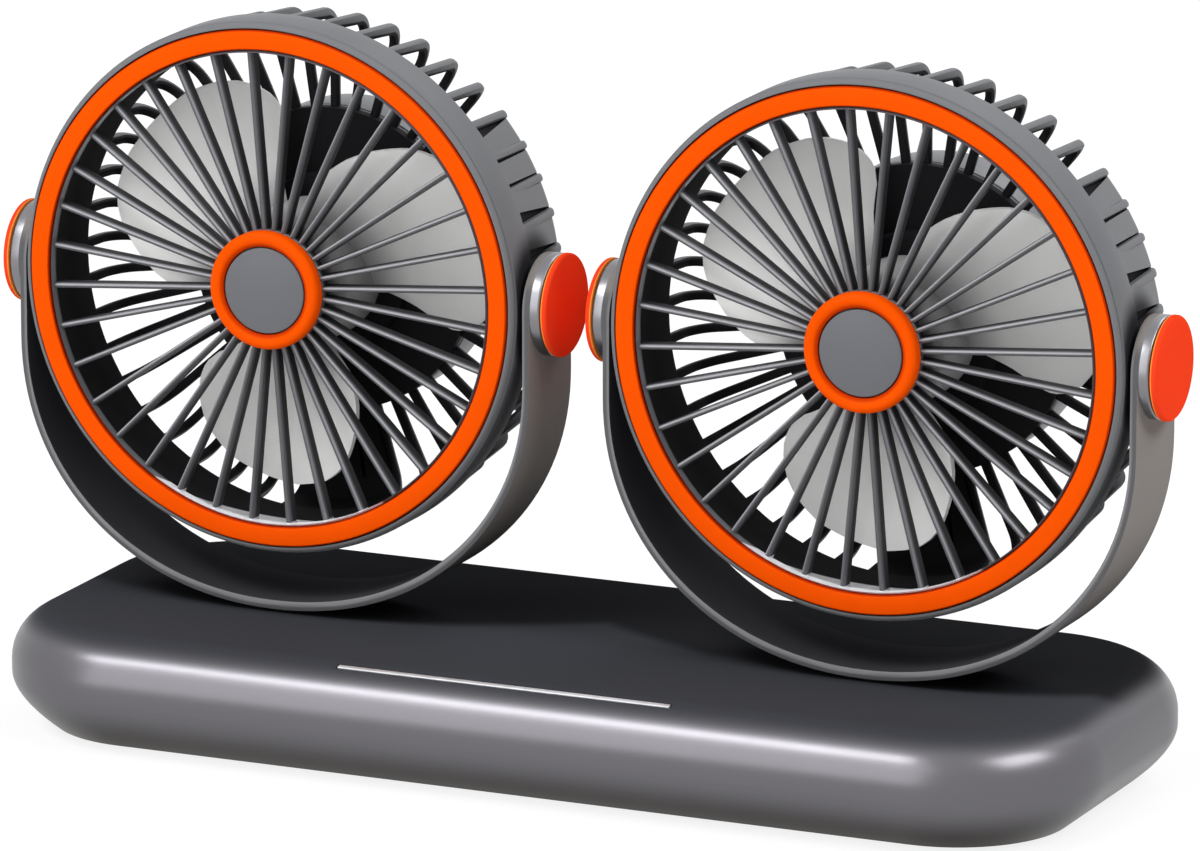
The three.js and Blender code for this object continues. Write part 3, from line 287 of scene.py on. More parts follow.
class Wire:
    """A node's output in a finish. Sums and products of wires and numbers add nodes."""

    def __init__(self, graph, socket):
        self.graph = graph
        self.socket = socket

    def maths(self, operation, other=0.0, reflected=False):
        terms = (other, self) if reflected else (self, other)
        settings = {"operation": operation}
        return self.graph.node("ShaderNodeMath", settings, dict(enumerate(terms)))

    def __add__(self, other):
        return self.maths("ADD", other)

    def __radd__(self, other):
        return self.maths("ADD", other, True)

    def __sub__(self, other):
        return self.maths("SUBTRACT", other)

    def __rsub__(self, other):
        return self.maths("SUBTRACT", other, True)

    def __mul__(self, other):
        return self.maths("MULTIPLY", other)

    def __rmul__(self, other):
        return self.maths("MULTIPLY", other, True)

    def __truediv__(self, other):
        return self.maths("DIVIDE", other)

    def __pow__(self, other):
        return self.maths("POWER", other)

    def __abs__(self):
        return self.maths("ABSOLUTE")

    def larger(self, other):
        return self.maths("MAXIMUM", other)

    def smaller(self, other):
        return self.maths("MINIMUM", other)

    def root(self):
        return self.maths("SQRT")

    def ramp(self, low, high):
        """Smoothly from 0 at the low value to 1 at the high one."""
        return self.graph.node(
            "ShaderNodeMapRange",
            {"interpolation_type": "SMOOTHSTEP"},
            {"Value": self, "From Min": low, "From Max": high},
        )


class Graph:
    """A node tree in the making."""

    def __init__(self, tree):
        self.tree = tree

    def node(self, kind, settings=None, inputs=None, output=0):
        """Adds a node: its settings, then the numbers or wires of its sockets."""
        node = self.tree.nodes.new(kind)
        for name, value in (settings or {}).items():
            setattr(node, name, value)
        self.feed(node, inputs or {})
        return Wire(self, node.outputs[output])

    def feed(self, node, inputs):
        for name, value in inputs.items():
            if isinstance(value, Wire):
                self.tree.links.new(value.socket, node.inputs[name])
            else:
                node.inputs[name].default_value = value

    def seen(self):
        """1 for rays from the camera, off gloss or through glass, 0 for the others."""
        names = ("Is Camera Ray", "Is Glossy Ray", "Is Transmission Ray")
        rays = [self.node("ShaderNodeLightPath", output=name) for name in names]
        return rays[0].larger(rays[1]).larger(rays[2])


class Finish(Graph):
    """A material in the making, patterned on Object coordinates."""

    def __init__(self, name):
        self.material = bpy.data.materials.new(name)
        self.material.use_nodes = True
        super().__init__(self.material.node_tree)
        self.shader = self.tree.nodes["Principled BSDF"]
        self.place = self.node("ShaderNodeTexCoord", output="Object")

    def shade(self, **inputs):
        """Sets the shader's own sockets, named with _ for a space."""
        named = {name.replace("_", " "): value for name, value in inputs.items()}
        self.feed(self.shader, named)
        return self.material

    def noise(self, scale, detail=2.0):
        """Cloudy noise from 0 to 1, with scale features to a metre."""
        return self.node(
            "ShaderNodeTexNoise",
            inputs={"Vector": self.place, "Scale": scale, "Detail": detail},
        )

    def grain(self, depth, scale=2600.0):
        """A mould's fine grain of that depth in metres, for the shader's Normal."""
        return self.relief(self.noise(scale, 3.0), depth)

    def relief(self, height, distance):
        """A bump of that height in metres, for the shader's Normal."""
        return self.node(
            "ShaderNodeBump", inputs={"Height": height, "Distance": distance}
        )

    def blend(self, mask, first, second):
        """The first colour where the mask is 0 and the second where it is 1."""
        colours = [opaque(c) if not isinstance(c, Wire) else c for c in (first, second)]
        return self.node(
            "ShaderNodeMix",
            {"data_type": "RGBA"},
            {0: mask, 6: colours[0], 7: colours[1]},
            output=2,
        )

    def parts(self, vector=None):
        """The x, y and z of a vector, or else of the place."""
        source = {0: vector or self.place}
        return [
            self.node("ShaderNodeSeparateXYZ", inputs=source, output=i)
            for i in range(3)
        ]

    def facing(self):
        """The x, y and z of the surface's own direction."""
        return self.parts(self.node("ShaderNodeTexCoord", output="Normal"))

    def round_axis(self):
        """Either head's own x, y and z from its tilt pivot, and distance from its axis."""
        x, y, z = self.parts()
        across = abs(x) - PIVOTS["right"].x
        along = y - PIVOTS["right"].y
        up = z - PIVOTS["right"].z
        return across, along, up, (across * across + up * up).root()


def opaque(rgb, factor=1.0):
    """A colour with its alpha, lighter or darker by a factor."""
    return (*(channel * factor for channel in rgb[:3]), 1.0)


def moulded(name, rgb, roughness, grain=SATIN_GRAIN, specular=0.5, layers=()):
    """Injection moulded plastic with flow marks and a fine grain. Each layer's colour
    lies over the ones before where its mask is 1, rougher by its number."""
    finish = Finish(name)
    marks = 0.06
    flow = finish.noise(60.0)
    tint = finish.blend(flow, opaque(rgb, 1 - marks), opaque(rgb, 1 + marks))
    rough = roughness - marks / 2 + flow * marks
    for mask, over, rougher in layers:
        cover = mask(finish)
        tint = finish.blend(cover, tint, over)
        rough = rough + cover * rougher
    return finish.shade(
        Base_Color=tint,
        Roughness=rough,
        Specular_IOR_Level=specular,
        Normal=finish.grain(grain),
    )


def shade_under_skin(finish):
    """Painted shade: 1 inside a head's housing and on its ribs' inner sides, where shade falls."""
    s = bpy.context.scene.fan_head
    shade_starts, shade_full = -0.0009, -0.0013
    _, along, _, radius = finish.round_axis()
    drop = s.band - s.rib_setback - s.shoulder - s.shoulder_arc
    run = s.shoulder_place - s.band_back
    ahead = (s.shoulder_place - along).larger(0.0).smaller(run)
    beyond = (radius - s.shoulder - ahead * (drop / run)).larger(0.0)
    behind = (along - s.shoulder_place).larger(0.0)
    skin = (beyond * beyond + behind * behind).root() - s.shoulder_arc
    return skin.ramp(shade_starts, shade_full)


def housing_shade(finish):
    """Painted shade: 1 inside a head's housing, and outside it as a painted shadow in the nook beside each pivot
    and below it.
    """
    nook_ends, nook_full = 0.0175, 0.0115
    below_starts, below_full, below_depth = 0.012, -0.03, 0.6
    side_starts, side_full = 0.02, 0.045
    front_starts, front_full = -0.0122, -0.0112
    across, along, up, _ = finish.round_axis()
    nook = (along * along + up * up).root().ramp(nook_ends, nook_full)
    below = up.ramp(below_starts, below_full) * below_depth
    side = abs(across).ramp(side_starts, side_full)
    front = along.ramp(front_starts, front_full)
    return shade_under_skin(finish).larger(nook.larger(below) * side * front)


def grille_finish(name, c):
    """Satin grey, with painted light on the slats' front edges, paler where they face up as a painted highlight,
    and painted shade on their flanks.
    """
    finish = Finish(name)
    s = bpy.context.scene.fan_head
    face_depth, flank_starts, flank_full = 0.0008, 0.0004, 0.0016
    hub_fade, rim_fade, level, upward = 0.0005, 0.0004, -0.05, 0.4
    satin, marks, flank_rougher = 0.32, 0.06, 0.2
    _, along, _, radius = finish.round_axis()
    edge = along.ramp(s.slat_front + face_depth, s.slat_front)
    edge = edge * radius.ramp(s.hub_outer - hub_fade, s.hub_outer)
    edge = edge * radius.ramp(s.ring_inner, s.ring_inner - rim_fade)
    # Painted shade on the slats' flanks behind their front edges.
    flank = along.ramp(s.slat_front + flank_starts, s.slat_front + flank_full)
    lit = finish.facing()[2].ramp(level, upward)
    tint = finish.blend(edge, c.grey, finish.blend(lit, c.slat, c.edge))
    tint = finish.blend(flank, tint, c.shade)
    # Painted light: the same pale patch on the grille rim's inner wall low down.
    rim = radius.ramp(s.ring_inner - rim_fade / 2, s.ring_inner - rim_fade / 4)
    return finish.shade(
        Base_Color=finish.blend(painted_duct_light(finish) * rim, tint, c.pale),
        Roughness=satin + finish.noise(60.0) * marks + flank * flank_rougher,
        Specular_IOR_Level=0.3,
        Normal=finish.grain(PAINT_GRAIN),
    )


def painted_duct_light(finish):
    """Painted light: 1 low down inside the front of a head, where a pale patch stands in for light falling on the
    air duct's floor.
    """
    s = bpy.context.scene.fan_head
    lean, blur, skin = 1.3, 0.0006, 0.0002
    _, along, up, radius = finish.round_axis()
    depth = along + (up + s.duct_inner) * lean
    pale = depth.ramp(s.light_patch_back + blur, s.light_patch_back)
    return pale * radius.ramp(s.duct_inner + 2 * skin, s.duct_inner + skin)


def ring_edge_shade(finish):
    """Painted shade: 1 along the trim rings' outer and inner edges and inside the hub rings."""
    s = bpy.context.scene.fan_head
    strength, near, far, wide, clear = 0.75, 0.0001, 0.0004, 0.0005, 0.001
    _, along, _, radius = finish.round_axis()
    outer = radius.ramp(s.ring_outer - far, s.ring_outer - near)
    start = s.ring_inner + s.collar
    inner = radius.ramp(start + wide, start + 2 * near)
    inner = inner * radius.ramp(s.hub_outer, s.hub_outer + clear)
    slope = along.ramp(s.hub_front + near, s.hub_front + far)
    slope = slope * radius.ramp(s.hub_inner + s.hub_slope, s.hub_inner)
    return outer.larger(inner).larger(slope) * strength


def cap_rim_highlight(finish):
    """Painted highlight: 1 along the inner edge of each pivot cap."""
    s = bpy.context.scene.fan_yoke
    starts, full = 0.00045, 0.00015
    edge = s.boss_face + s.gap
    out = abs(finish.round_axis()[0])
    return out.ramp(edge + starts, edge + full) * out.ramp(0.0, edge)


def inner_side_shade(finish):
    """Painted shade: 1 where a surface looks at its head's axis."""
    aslant, inwards = -0.3, -0.8
    across, _, up, radius = finish.round_axis()
    side = finish.parts()[0].maths("SIGN")
    x, _, z = finish.facing()
    outwards = (x * side * across + z * up) / radius
    return outwards.ramp(aslant, inwards)


def near_hub(finish):
    """1 at the impeller's hub, fading out along its blades."""
    fades_out, full = 0.026, 0.015
    return finish.round_axis()[3].ramp(fades_out, full)


def front_highlight_half(finish):
    """Painted highlight: 1 on the inner half of a yoke's front edge, 0 on its outer half."""
    s = bpy.context.scene.fan_yoke
    outer_share, inner_share = 0.987, 0.977
    across, _, up, _ = finish.round_axis()
    drop = (up + s.straight).smaller(0.0) * (1 / (s.bottom - s.straight))
    out = across * (1 / s.half_width)
    level = (abs(out) ** s.fullness + abs(drop) ** s.fullness) ** (1 / s.fullness)
    return level.ramp(outer_share, inner_share)


def yoke_finish(name, c):
    """Satin grey with polished bosses round the pivots, painted shade on the inner side and low down, and on the
    front edges a darker painted shade with a painted highlight on the inner half.
    """
    finish = Finish(name)
    s = bpy.context.scene.fan_yoke
    low_starts, low_full, low_depth = -0.03, -0.072, 0.85
    slanted, ahead, paler, fade = -0.75, -0.95, 2.4, 0.0001
    satin, marks, smoother, metallic = 0.4, 0.06, 0.12, 0.9
    across, _, up, _ = finish.round_axis()
    arm = s.half_width + 2 * fade
    boss = abs(across).ramp(arm, arm + fade)
    # Painted shade: darker towards the bottom of the yoke.
    tint = finish.blend(up.ramp(low_starts, low_full) * low_depth, c.yoke, c.shade)
    # Painted light by facing: the front faces get the painted shade and highlight tones.
    front = finish.facing()[1].ramp(slanted, ahead)
    edge = finish.blend(front_highlight_half(finish), c.yoke_front_shade, c.yoke_front_highlight)
    tint = finish.blend(front, tint, edge)
    tint = finish.blend(inner_side_shade(finish), tint, opaque(c.shade, paler))
    return finish.shade(
        Base_Color=finish.blend(boss, tint, c.boss),
        Metallic=boss * metallic,
        Roughness=satin + finish.noise(70.0) * marks - boss * smoother,
        Specular_IOR_Level=0.0,
        Normal=finish.grain(PAINT_GRAIN, 2400.0),
    )


def base_finish(name, c):
    """The base's top, darker than the side as a painted dark reflection, with its rear darker behind a curved line
    as painted shade of the heads; its metallic grey side; and painted shade on the side's drawn-in foot.
    """
    finish = Finish(name)
    side_ends, top_starts = 0.0042, 0.0004
    foot_full, foot_ends = 0.0015, 0.0105
    shadow_line, shadow_bend, shadow_ahead, shadow_behind = 0.013, 4.6, -0.003, 0.004
    metallic, gloss, rougher, clouds = 0.8, 0.28, 0.36, 0.05
    _, y, height = finish.parts()
    upper = height.ramp(BASE_HIGH.z - side_ends, BASE_HIGH.z - top_starts)
    lower = height.ramp(BASE_LOW.z + foot_full, BASE_LOW.z + foot_ends)
    across = finish.round_axis()[0]
    # Painted shade of the heads: the top is darker behind a curved line.
    rear = y + shadow_line - across * across * shadow_bend
    rear = rear.ramp(shadow_ahead, shadow_behind)
    # Painted shade: the side is darker towards its foot.
    side = finish.blend(lower, c.base_foot_shade, c.base_side)
    return finish.shade(
        Base_Color=finish.blend(upper, side, finish.blend(rear, c.base_front, c.base_top)),
        Metallic=(1 - upper) * metallic,
        Roughness=gloss + upper * rougher + finish.noise(45.0) * clouds,
        Specular_IOR_Level=0.0,
        Normal=finish.grain(PAINT_GRAIN, 2400.0),
    )


def metal(name, rgb, roughness, streaks):
    """Plain or cast metal, with fine marks in its gloss."""
    finish = Finish(name)
    darker, paler, spread = 0.85, 1.1, 0.12
    marks = finish.noise(streaks, 4.0)
    return finish.shade(
        Base_Color=finish.blend(marks, opaque(rgb, darker), opaque(rgb, paler)),
        Metallic=1.0,
        Roughness=roughness - spread / 2 + marks * spread,
        Normal=finish.relief(marks, SATIN_GRAIN),
    )


def board_finish(name):
    """Lacquered circuit board, green with paler tracks."""
    finish = Finish(name)
    gloss, clouds = 0.3, 0.1
    bricks = {
        "Vector": finish.place,
        "Color1": (0.012, 0.1, 0.035, 1.0),
        "Color2": (0.014, 0.12, 0.04, 1.0),
        "Mortar": (0.03, 0.22, 0.08, 1.0),
        "Scale": 380.0,
        "Mortar Size": 0.03,
    }
    tracks = finish.node("ShaderNodeTexBrick", inputs=bricks)
    rough = gloss + finish.noise(900.0) * clouds
    return finish.shade(Base_Color=tracks, Roughness=rough)


def finishes(c):
    """The fan's finishes by name, made the first time they are asked for."""
    if FINISHES:
        return FINISHES
    satin, rougher = 0.4, 0.25
    # The housing is layered with painted shade inside and in the nooks by the pivots, then the painted pale patch
    # of light; the rings' edges get painted shade, the pivot caps' rims a painted highlight.
    inside = [(housing_shade, c.shade, rougher), (painted_duct_light, c.pale, 0.0)]
    edges = [(ring_edge_shade, c.orange_shade, rougher)]
    rims = [(cap_rim_highlight, c.cap_highlight, rougher)]
    middle = [(near_hub, c.hub, rougher)]
    FINISHES.update(
        housing_plastic=moulded("grey", c.housing, satin, SATIN_GRAIN, 0.04, inside),
        grille_plastic=grille_finish("grille_grey", c),
        cap_plastic=moulded("cap_grey", c.grey, satin),
        yoke_plastic=yoke_finish("yoke_grey", c),
        washer_plastic=moulded("washer_black", (0.025, 0.025, 0.03), 0.35),
        orange_plastic=moulded("orange", c.orange, satin, FINE_GRAIN, 0.02, edges),
        red_plastic=moulded("red", c.red, satin, FINE_GRAIN, 0.0, rims),
        blade_plastic=moulded("milky", c.blade, 0.32, FINE_GRAIN, layers=middle),
        black_rubber=moulded("rubber", (0.012, 0.012, 0.013), 0.75, 0.00003),
        base_plastic=base_finish("base_grey", c),
        silver_trim=metal("silver", c.silver, 0.5, 500.0),
        steel=metal("plain_steel", (0.4, 0.41, 0.42), 0.34, 1400.0),
        cast_iron=metal("rough_iron", (0.07, 0.07, 0.07), 0.62, 700.0),
        circuit_board=board_finish("lacquered_board"),
    )
    return FINISHES


def rounded(bm, geom, width, steps, affect="EDGES", clamp=False):
    """Rounds edges, or the corners of a flat outline."""
    bmesh.ops.bevel(
        bm,
        geom=geom,
        offset=width,
        offset_type="OFFSET",
        segments=steps,
        profile=0.5,
        affect=affect,
        clamp_overlap=clamp,
        material=-1,
    )


def spun(bm, turn, steps, **how):
    """Spins a form about Y."""
    geom = bm.verts[:] + bm.edges[:] + bm.faces[:]
    middle, axis = (0, 0, 0), (0, 1, 0)
    bmesh.ops.spin(bm, geom=geom, cent=middle, axis=axis, angle=turn, steps=steps, **how)


def turned(corners, steps, start=0.0, turn=WHOLE_TURN):
    """A solid turned about Y, whole or from one clock angle through another."""
    bm = bmesh.new()
    verts = [bm.verts.new((corner[0], corner[1], 0.0)) for corner in corners]
    bm.faces.new(verts)
    for vert, corner in zip(verts, corners):
        if len(corner) > 2:
            arc_steps = corner[3] if len(corner) > 3 else ROUND
            rounded(bm, [vert], corner[2], arc_steps, "VERTICES")
    whole = turn == WHOLE_TURN
    if whole:
        bmesh.ops.delete(bm, geom=bm.faces[:], context="FACES_ONLY")
        on_axis = [
            edge for edge in bm.edges if max(abs(v.co.x) for v in edge.verts) < 1e-9
        ]
        bmesh.ops.delete(bm, geom=on_axis, context="EDGES")
    turn_about(bm, "Y", start - math.pi / 2)
    spun(bm, turn, steps, use_merge=whole)
    return tidy(bm)


def rod(radius, low, high, steps, at_low=(), at_high=(), bore=0.0):
    """A round bar along Y, or a tube where it has a bore, with its outer edges' own
    rounding at each end."""
    corners = [(bore, low), (radius, low, *at_low), (radius, high, *at_high), (bore, high)]
    return turned(corners, steps)


def tidy(bm):
    """Merges doubled corners and turns all faces outwards."""
    bmesh.ops.remove_doubles(bm, verts=bm.verts[:], dist=1e-6)
    bmesh.ops.recalc_face_normals(bm, faces=bm.faces[:])
    return bm


def turn_about(bm, axis, radians):
    turn = Matrix.Rotation(radians, 3, axis)
    bmesh.ops.rotate(bm, verts=bm.verts[:], cent=(0, 0, 0), matrix=turn)
    return bm


def shifted(bm, place):
    bmesh.ops.translate(bm, verts=bm.verts[:], vec=place)
    return bm


def upright(bm):
    """Stands a form that was turned about Y on Z instead."""
    return turn_about(bm, "X", math.pi / 2)


def sideways(bm, outward):
    """Lays a form that was turned about Y along X, facing outwards."""
    return turn_about(bm, "Z", -outward * math.pi / 2)


def repeated(bm, copies):
    """Copies the whole form round Y, evenly."""
    spun(bm, WHOLE_TURN * (copies - 1) / copies, copies - 1, use_duplicate=True)
    return bm


def grown(bm, shift):
    """Carries the flat faces of a form along, so that it becomes a solid."""
    result = bmesh.ops.extrude_face_region(bm, geom=bm.faces[:])
    moved = [item for item in result["geom"] if isinstance(item, bmesh.types.BMVert)]
    bmesh.ops.translate(bm, verts=moved, vec=shift)


def thickened(corners, axis, width):
    """A flat outline carried along an axis, half to each side. Along Y its corners are
    (x, z), along Z they are (x, y) and along X they are (y, z)."""
    bm = bmesh.new()
    order = {"X": (2, 0, 1), "Y": (0, 2, 1), "Z": (0, 1, 2)}[axis]
    flat = [(a, b, -width / 2) for a, b in corners]
    bm.faces.new([bm.verts.new([corner[i] for i in order]) for corner in flat])
    grown(bm, Vector([(0.0, 0.0, width)[i] for i in order]))
    return tidy(bm)


def box_form(low, high):
    bm = bmesh.new()
    bmesh.ops.create_cube(bm, size=1.0)
    span = Vector(high) - Vector(low)
    bmesh.ops.scale(bm, vec=span, verts=bm.verts[:])
    return shifted(bm, Vector(low) + span / 2)


def softened(bm, width, segments=2, above=40):
    """Rounds every edge that turns by more than that many degrees."""
    sharp = [
        edge
        for edge in bm.edges
        if edge.is_manifold and edge.calc_face_angle(0) > math.radians(above)
    ]
    rounded(bm, sharp, width, segments, clamp=True)
    return bm


def united(*forms):
    """Forms put into one mesh as they are."""
    whole = forms[0]
    for form in forms[1:]:
        mesh = bpy.data.meshes.new("form")
        form.to_mesh(mesh)
        form.free()
        whole.from_mesh(mesh)
        bpy.data.meshes.remove(mesh)
    return whole


def placed(bm, name):
    """A new object for a form."""
    mesh = bpy.data.meshes.new(name)
    bm.to_mesh(mesh)
    bm.free()
    obj = bpy.data.objects.new(name, mesh)
    bpy.context.scene.collection.objects.link(obj)
    return obj


def carved(bm, *tools, operation="DIFFERENCE"):
    """The form with each tool taken away, or kept only where it meets them."""
    whole = placed(bm, "form")
    cutters = [placed(tool, "form") for tool in tools]
    for cutter in cutters:
        modifier = whole.modifiers.new("cut", "BOOLEAN")
        modifier.operation = operation
        modifier.solver = "EXACT"
        modifier.object = cutter
    result = bmesh.new()
    result.from_object(whole, bpy.context.evaluated_depsgraph_get())
    for obj in [whole, *cutters]:
        mesh = obj.data
        bpy.data.objects.remove(obj)
        bpy.data.meshes.remove(mesh)
    return result


def piece(bm, name, body, slot, node, finish=None):
    """Makes a finished piece that rides on its body in place of its node."""
    obj = placed(tidy(bm), name)
    obj.data.shade_smooth()
    obj.data.set_sharp_from_angle(angle=SMOOTH_BELOW)
    materials = finishes(bpy.context.scene.fan_colours)
    obj.data.materials.append(materials[finish or slot])
    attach(obj, body)
    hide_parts(node)


def on_both_heads(form, sizes, name, body, slot, node, finish=None):
    """Makes one of a form for each head and puts it at the head's pivot."""
    for side in PIVOTS:
        piece(
            shifted(form(sizes), PIVOTS[side]),
            f"{side}_{name}",
            f"{side}_{body}_body",
            slot,
            f"{side}_{node}",
            finish,
        )


def rounded_plate(length, depth, corner, z, steps):
    """A flat rounded rectangle."""
    bm = bmesh.new()
    bmesh.ops.create_grid(bm, x_segments=1, y_segments=1, size=0.5)
    bmesh.ops.scale(bm, vec=(length, depth, 1), verts=bm.verts[:])
    rounded(bm, bm.verts[:], corner, steps, "VERTICES")
    return shifted(bm, (0, 0, z))


def drawn_in(bm, face, levels):
    """Carries a face outwards through levels of (inset, distance) from where it is."""
    past_inset, past_rise = 0.0, 0.0
    for inset, rise in levels:
        bmesh.ops.inset_region(
            bm,
            faces=[face],
            thickness=inset - past_inset,
            depth=rise - past_rise,
            use_even_offset=True,
        )
        past_inset, past_rise = inset, rise


def facing(bm, direction):
    """The face that points most nearly that way and lies farthest along it."""
    direction = Vector(direction)
    flat = [face for face in bm.faces if face.normal.dot(direction) > 0.99]
    return max(flat, key=lambda face: face.calc_center_median().dot(direction))


def fillet_bar(s, longer, width, low, high):
    """A bar along X on the top's front fillet, from low to high along its normal, as
    long as the trim strip or longer."""
    strip_low, strip_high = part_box("trim_strip")
    half = (strip_high.x - strip_low.x + longer) / 2
    bar = box_form(
        (-half, -width / 2, s.fillet + low), (half, width / 2, s.fillet + high)
    )
    turn_about(bar, "X", math.asin((s.fillet - s.strip_setback) / s.fillet))
    return shifted(bar, (0, BASE_LOW.y + s.fillet, BASE_HIGH.z - s.fillet))


def base_moulding(s):
    """The base's solid shell: up over the fillet and down the taper, then hollowed."""
    span = BASE_HIGH - BASE_LOW
    widest = BASE_LOW.z + s.taper_height
    steps = 12
    shares = [(i + 1) / steps for i in range(steps)]
    arcs = [math.pi / 2 * share for share in shares]
    bm = rounded_plate(span.x, span.y, s.corner, widest, 20)
    grown(bm, (0, 0, BASE_HIGH.z - s.fillet - widest))
    bmesh.ops.recalc_face_normals(bm, faces=bm.faces[:])
    fillet = [(s.fillet * (1 - math.cos(a)), s.fillet * math.sin(a)) for a in arcs]
    drawn_in(bm, facing(bm, (0, 0, 1)), [*fillet, (s.fillet + 0.001, s.fillet)])
    taper = []
    for share in shares:
        pulled = 2 * share * (1 - share) * s.taper_pull
        foot = (1 - share) ** 2 * s.taper_height
        taper.append((s.taper_inset * share**2, s.taper_height - pulled - foot))
    drawn_in(bm, facing(bm, (0, 0, -1)), taper)
    bmesh.ops.delete(bm, geom=[facing(bm, (0, 0, -1))], context="FACES_ONLY")
    bmesh.ops.solidify(bm, geom=bm.faces[:], thickness=s.wall)
    return tidy(bm)


class FAN_OT_base_shell(bpy.types.Operator):
    """Makes the base's shell, with its swivel recesses, inlet and strip groove"""

    bl_idname = "fan.base_shell"
    bl_label = "Base Shell"

    def execute(self, context):
        s = context.scene.fan_base
        top = BASE_HIGH.z
        under, recess = top - 2 * s.wall, top - s.recess_depth
        corners = [
            (0, under), (s.peg_hole, under), (s.peg_hole, recess),
            (s.recess_radius, recess), (s.recess_radius, top + s.wall),
            (0, top + s.wall),
        ]
        tools = [
            shifted(upright(turned(corners, PIN)), (pivot.x, pivot.y, 0))
            for pivot in PIVOTS.values()
        ]
        longer, over = 0.0006, 0.001
        tools.append(fillet_bar(s, longer, s.strip_groove, -s.groove_depth, over))
        low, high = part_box("power_inlet")
        play = Vector((s.inlet_play, 0, s.inlet_play))
        reach = Vector((0, 0.004, 0))
        mouth = box_form(low - play + reach / 2, high + play + reach)
        tools.append(softened(mouth, s.inlet_corner, 4))
        shell = carved(base_moulding(s), *tools)
        where = ("base_shell_moulding", "base", "dark_plastic", "base_top_shell")
        piece(shell, *where, "base_plastic")
        return {"FINISHED"}


def cross_headed(radius, height):
    """A screw head, domed and with a cross recess, that rises along Y from 0."""
    dome = (radius, height * 0.5, height * 0.3)
    middle = [(radius * 0.62, height), (0, height * 1.02)]
    head = turned([(0, 0), (radius, 0), dome, *middle], POST)
    long, thin = radius * 0.6, radius * 0.13
    low, high = height * 0.35, height * 2
    slots = [box_form((-long, low, -thin), (long, high, thin)) for _ in range(2)]
    turn_about(slots[1], "Y", math.pi / 2)
    return carved(head, *slots)


class FAN_OT_base_fittings(bpy.types.Operator):
    """Makes the trim strip, the rubber feet and the base's screws"""

    bl_idname = "fan.base_fittings"
    bl_label = "Base Fittings"

    def execute(self, context):
        s = context.scene.fan_base
        proud = overlap = 0.0001
        strip = fillet_bar(s, 0, s.strip_width, -s.strip_depth, proud)
        softened(strip, SOFT)
        piece(strip, "trim_strip_bar", "base", "silver_trim", "trim_strip")
        for place in ("front_left", "front_right", "rear_left", "rear_right"):
            node = "foot_" + place
            low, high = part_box(node)
            middle = (low + high) / 2
            tall = high.z - low.z
            foot = rod((high.x - low.x) / 2, 0, tall, PIN, at_low=(s.foot_edge,))
            shifted(upright(foot), (middle.x, middle.y, low.z))
            piece(foot, "foot_pad_" + place, "base", "black_rubber", node)
            node = "base_screw_" + place
            low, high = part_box(node)
            middle = (low + high) / 2
            head = cross_headed((high.x - low.x) / 2, s.screw_head)
            turn_about(head, "X", -math.pi / 2)
            shifted(head, (0, 0, s.screw_head))
            shank = upright(rod(s.shank, 0, s.shank_length, SHANK))
            screw = united(head, shifted(shank, (0, 0, s.screw_head - overlap)))
            shifted(screw, (middle.x, middle.y, low.z))
            piece(screw, "base_screw_head_" + place, "base", "steel", node)
        return {"FINISHED"}


def trim_ring(s):
    """The ring round a grille."""
    inner_edge = 0.00045
    inner = s.ring_inner + s.collar + s.gap / 2
    front = [(inner, s.ring_front, inner_edge), (s.ring_outer, s.ring_front, FULL)]
    return turned([(inner, s.ring_back), *front, (s.ring_outer, s.ring_back)], RING)


class FAN_OT_trim_rings(bpy.types.Operator):
    """Makes the orange ring round each grille"""

    bl_idname = "fan.trim_rings"
    bl_label = "Trim Rings"

    def execute(self, context):
        names = ("trim_ring_moulding", "head", "orange_plastic", "trim_ring")
        on_both_heads(trim_ring, context.scene.fan_head, *names)
        return {"FINISHED"}


def hub_ring(s):
    """The ring in the middle of a grille."""
    crown = 0.0014
    corners = [
        (s.hub_inner, s.hub_back),
        (s.hub_inner, s.hub_front + s.hub_slope * 0.6, CRISP),
        (s.hub_inner + s.hub_slope, s.hub_front, FULL),
        (s.hub_outer, s.hub_front, crown, 6),
        (s.hub_outer, s.hub_back),
    ]
    return turned(corners, DRUM)


class FAN_OT_hub_rings(bpy.types.Operator):
    """Makes the small orange ring in the middle of each grille"""

    bl_idname = "fan.hub_rings"
    bl_label = "Hub Rings"

    def execute(self, context):
        names = ("hub_ring_moulding", "head", "orange_plastic", "hub_ring")
        on_both_heads(hub_ring, context.scene.fan_head, *names)
        return {"FINISHED"}


def grille_slats(s):
    """All slats of one grille: narrow rounded front edges, thicker behind."""
    inner = s.hub_outer - s.cap_wall / 2
    under_ring = s.ring_inner + s.gap
    outer = s.rim_inner + s.cap_wall / 4
    front = [(inner, s.slat_front), (under_ring, s.slat_front)]
    step = [(under_ring, s.rim_front), (outer, s.rim_front)]
    back = [(outer, s.slat_back), (inner, s.slat_back)]
    slat = thickened([*front, *step, *back], "Z", s.slat_thick)
    ahead = s.rim_front - s.gap
    narrow = [vert for vert in slat.verts if vert.co.y < ahead]
    bmesh.ops.scale(slat, vec=(1, 1, s.slat_thin / s.slat_thick), verts=narrow)
    long_edges = [
        edge
        for edge in slat.edges
        if all(v.co.y < ahead for v in edge.verts) and edge.calc_length() > s.hub_outer
    ]
    rounded(slat, long_edges, s.slat_thin * 0.42, 3)
    repeated(slat, s.slat_count)
    return turn_about(slat, "Y", s.slat_phase - math.pi / 2)


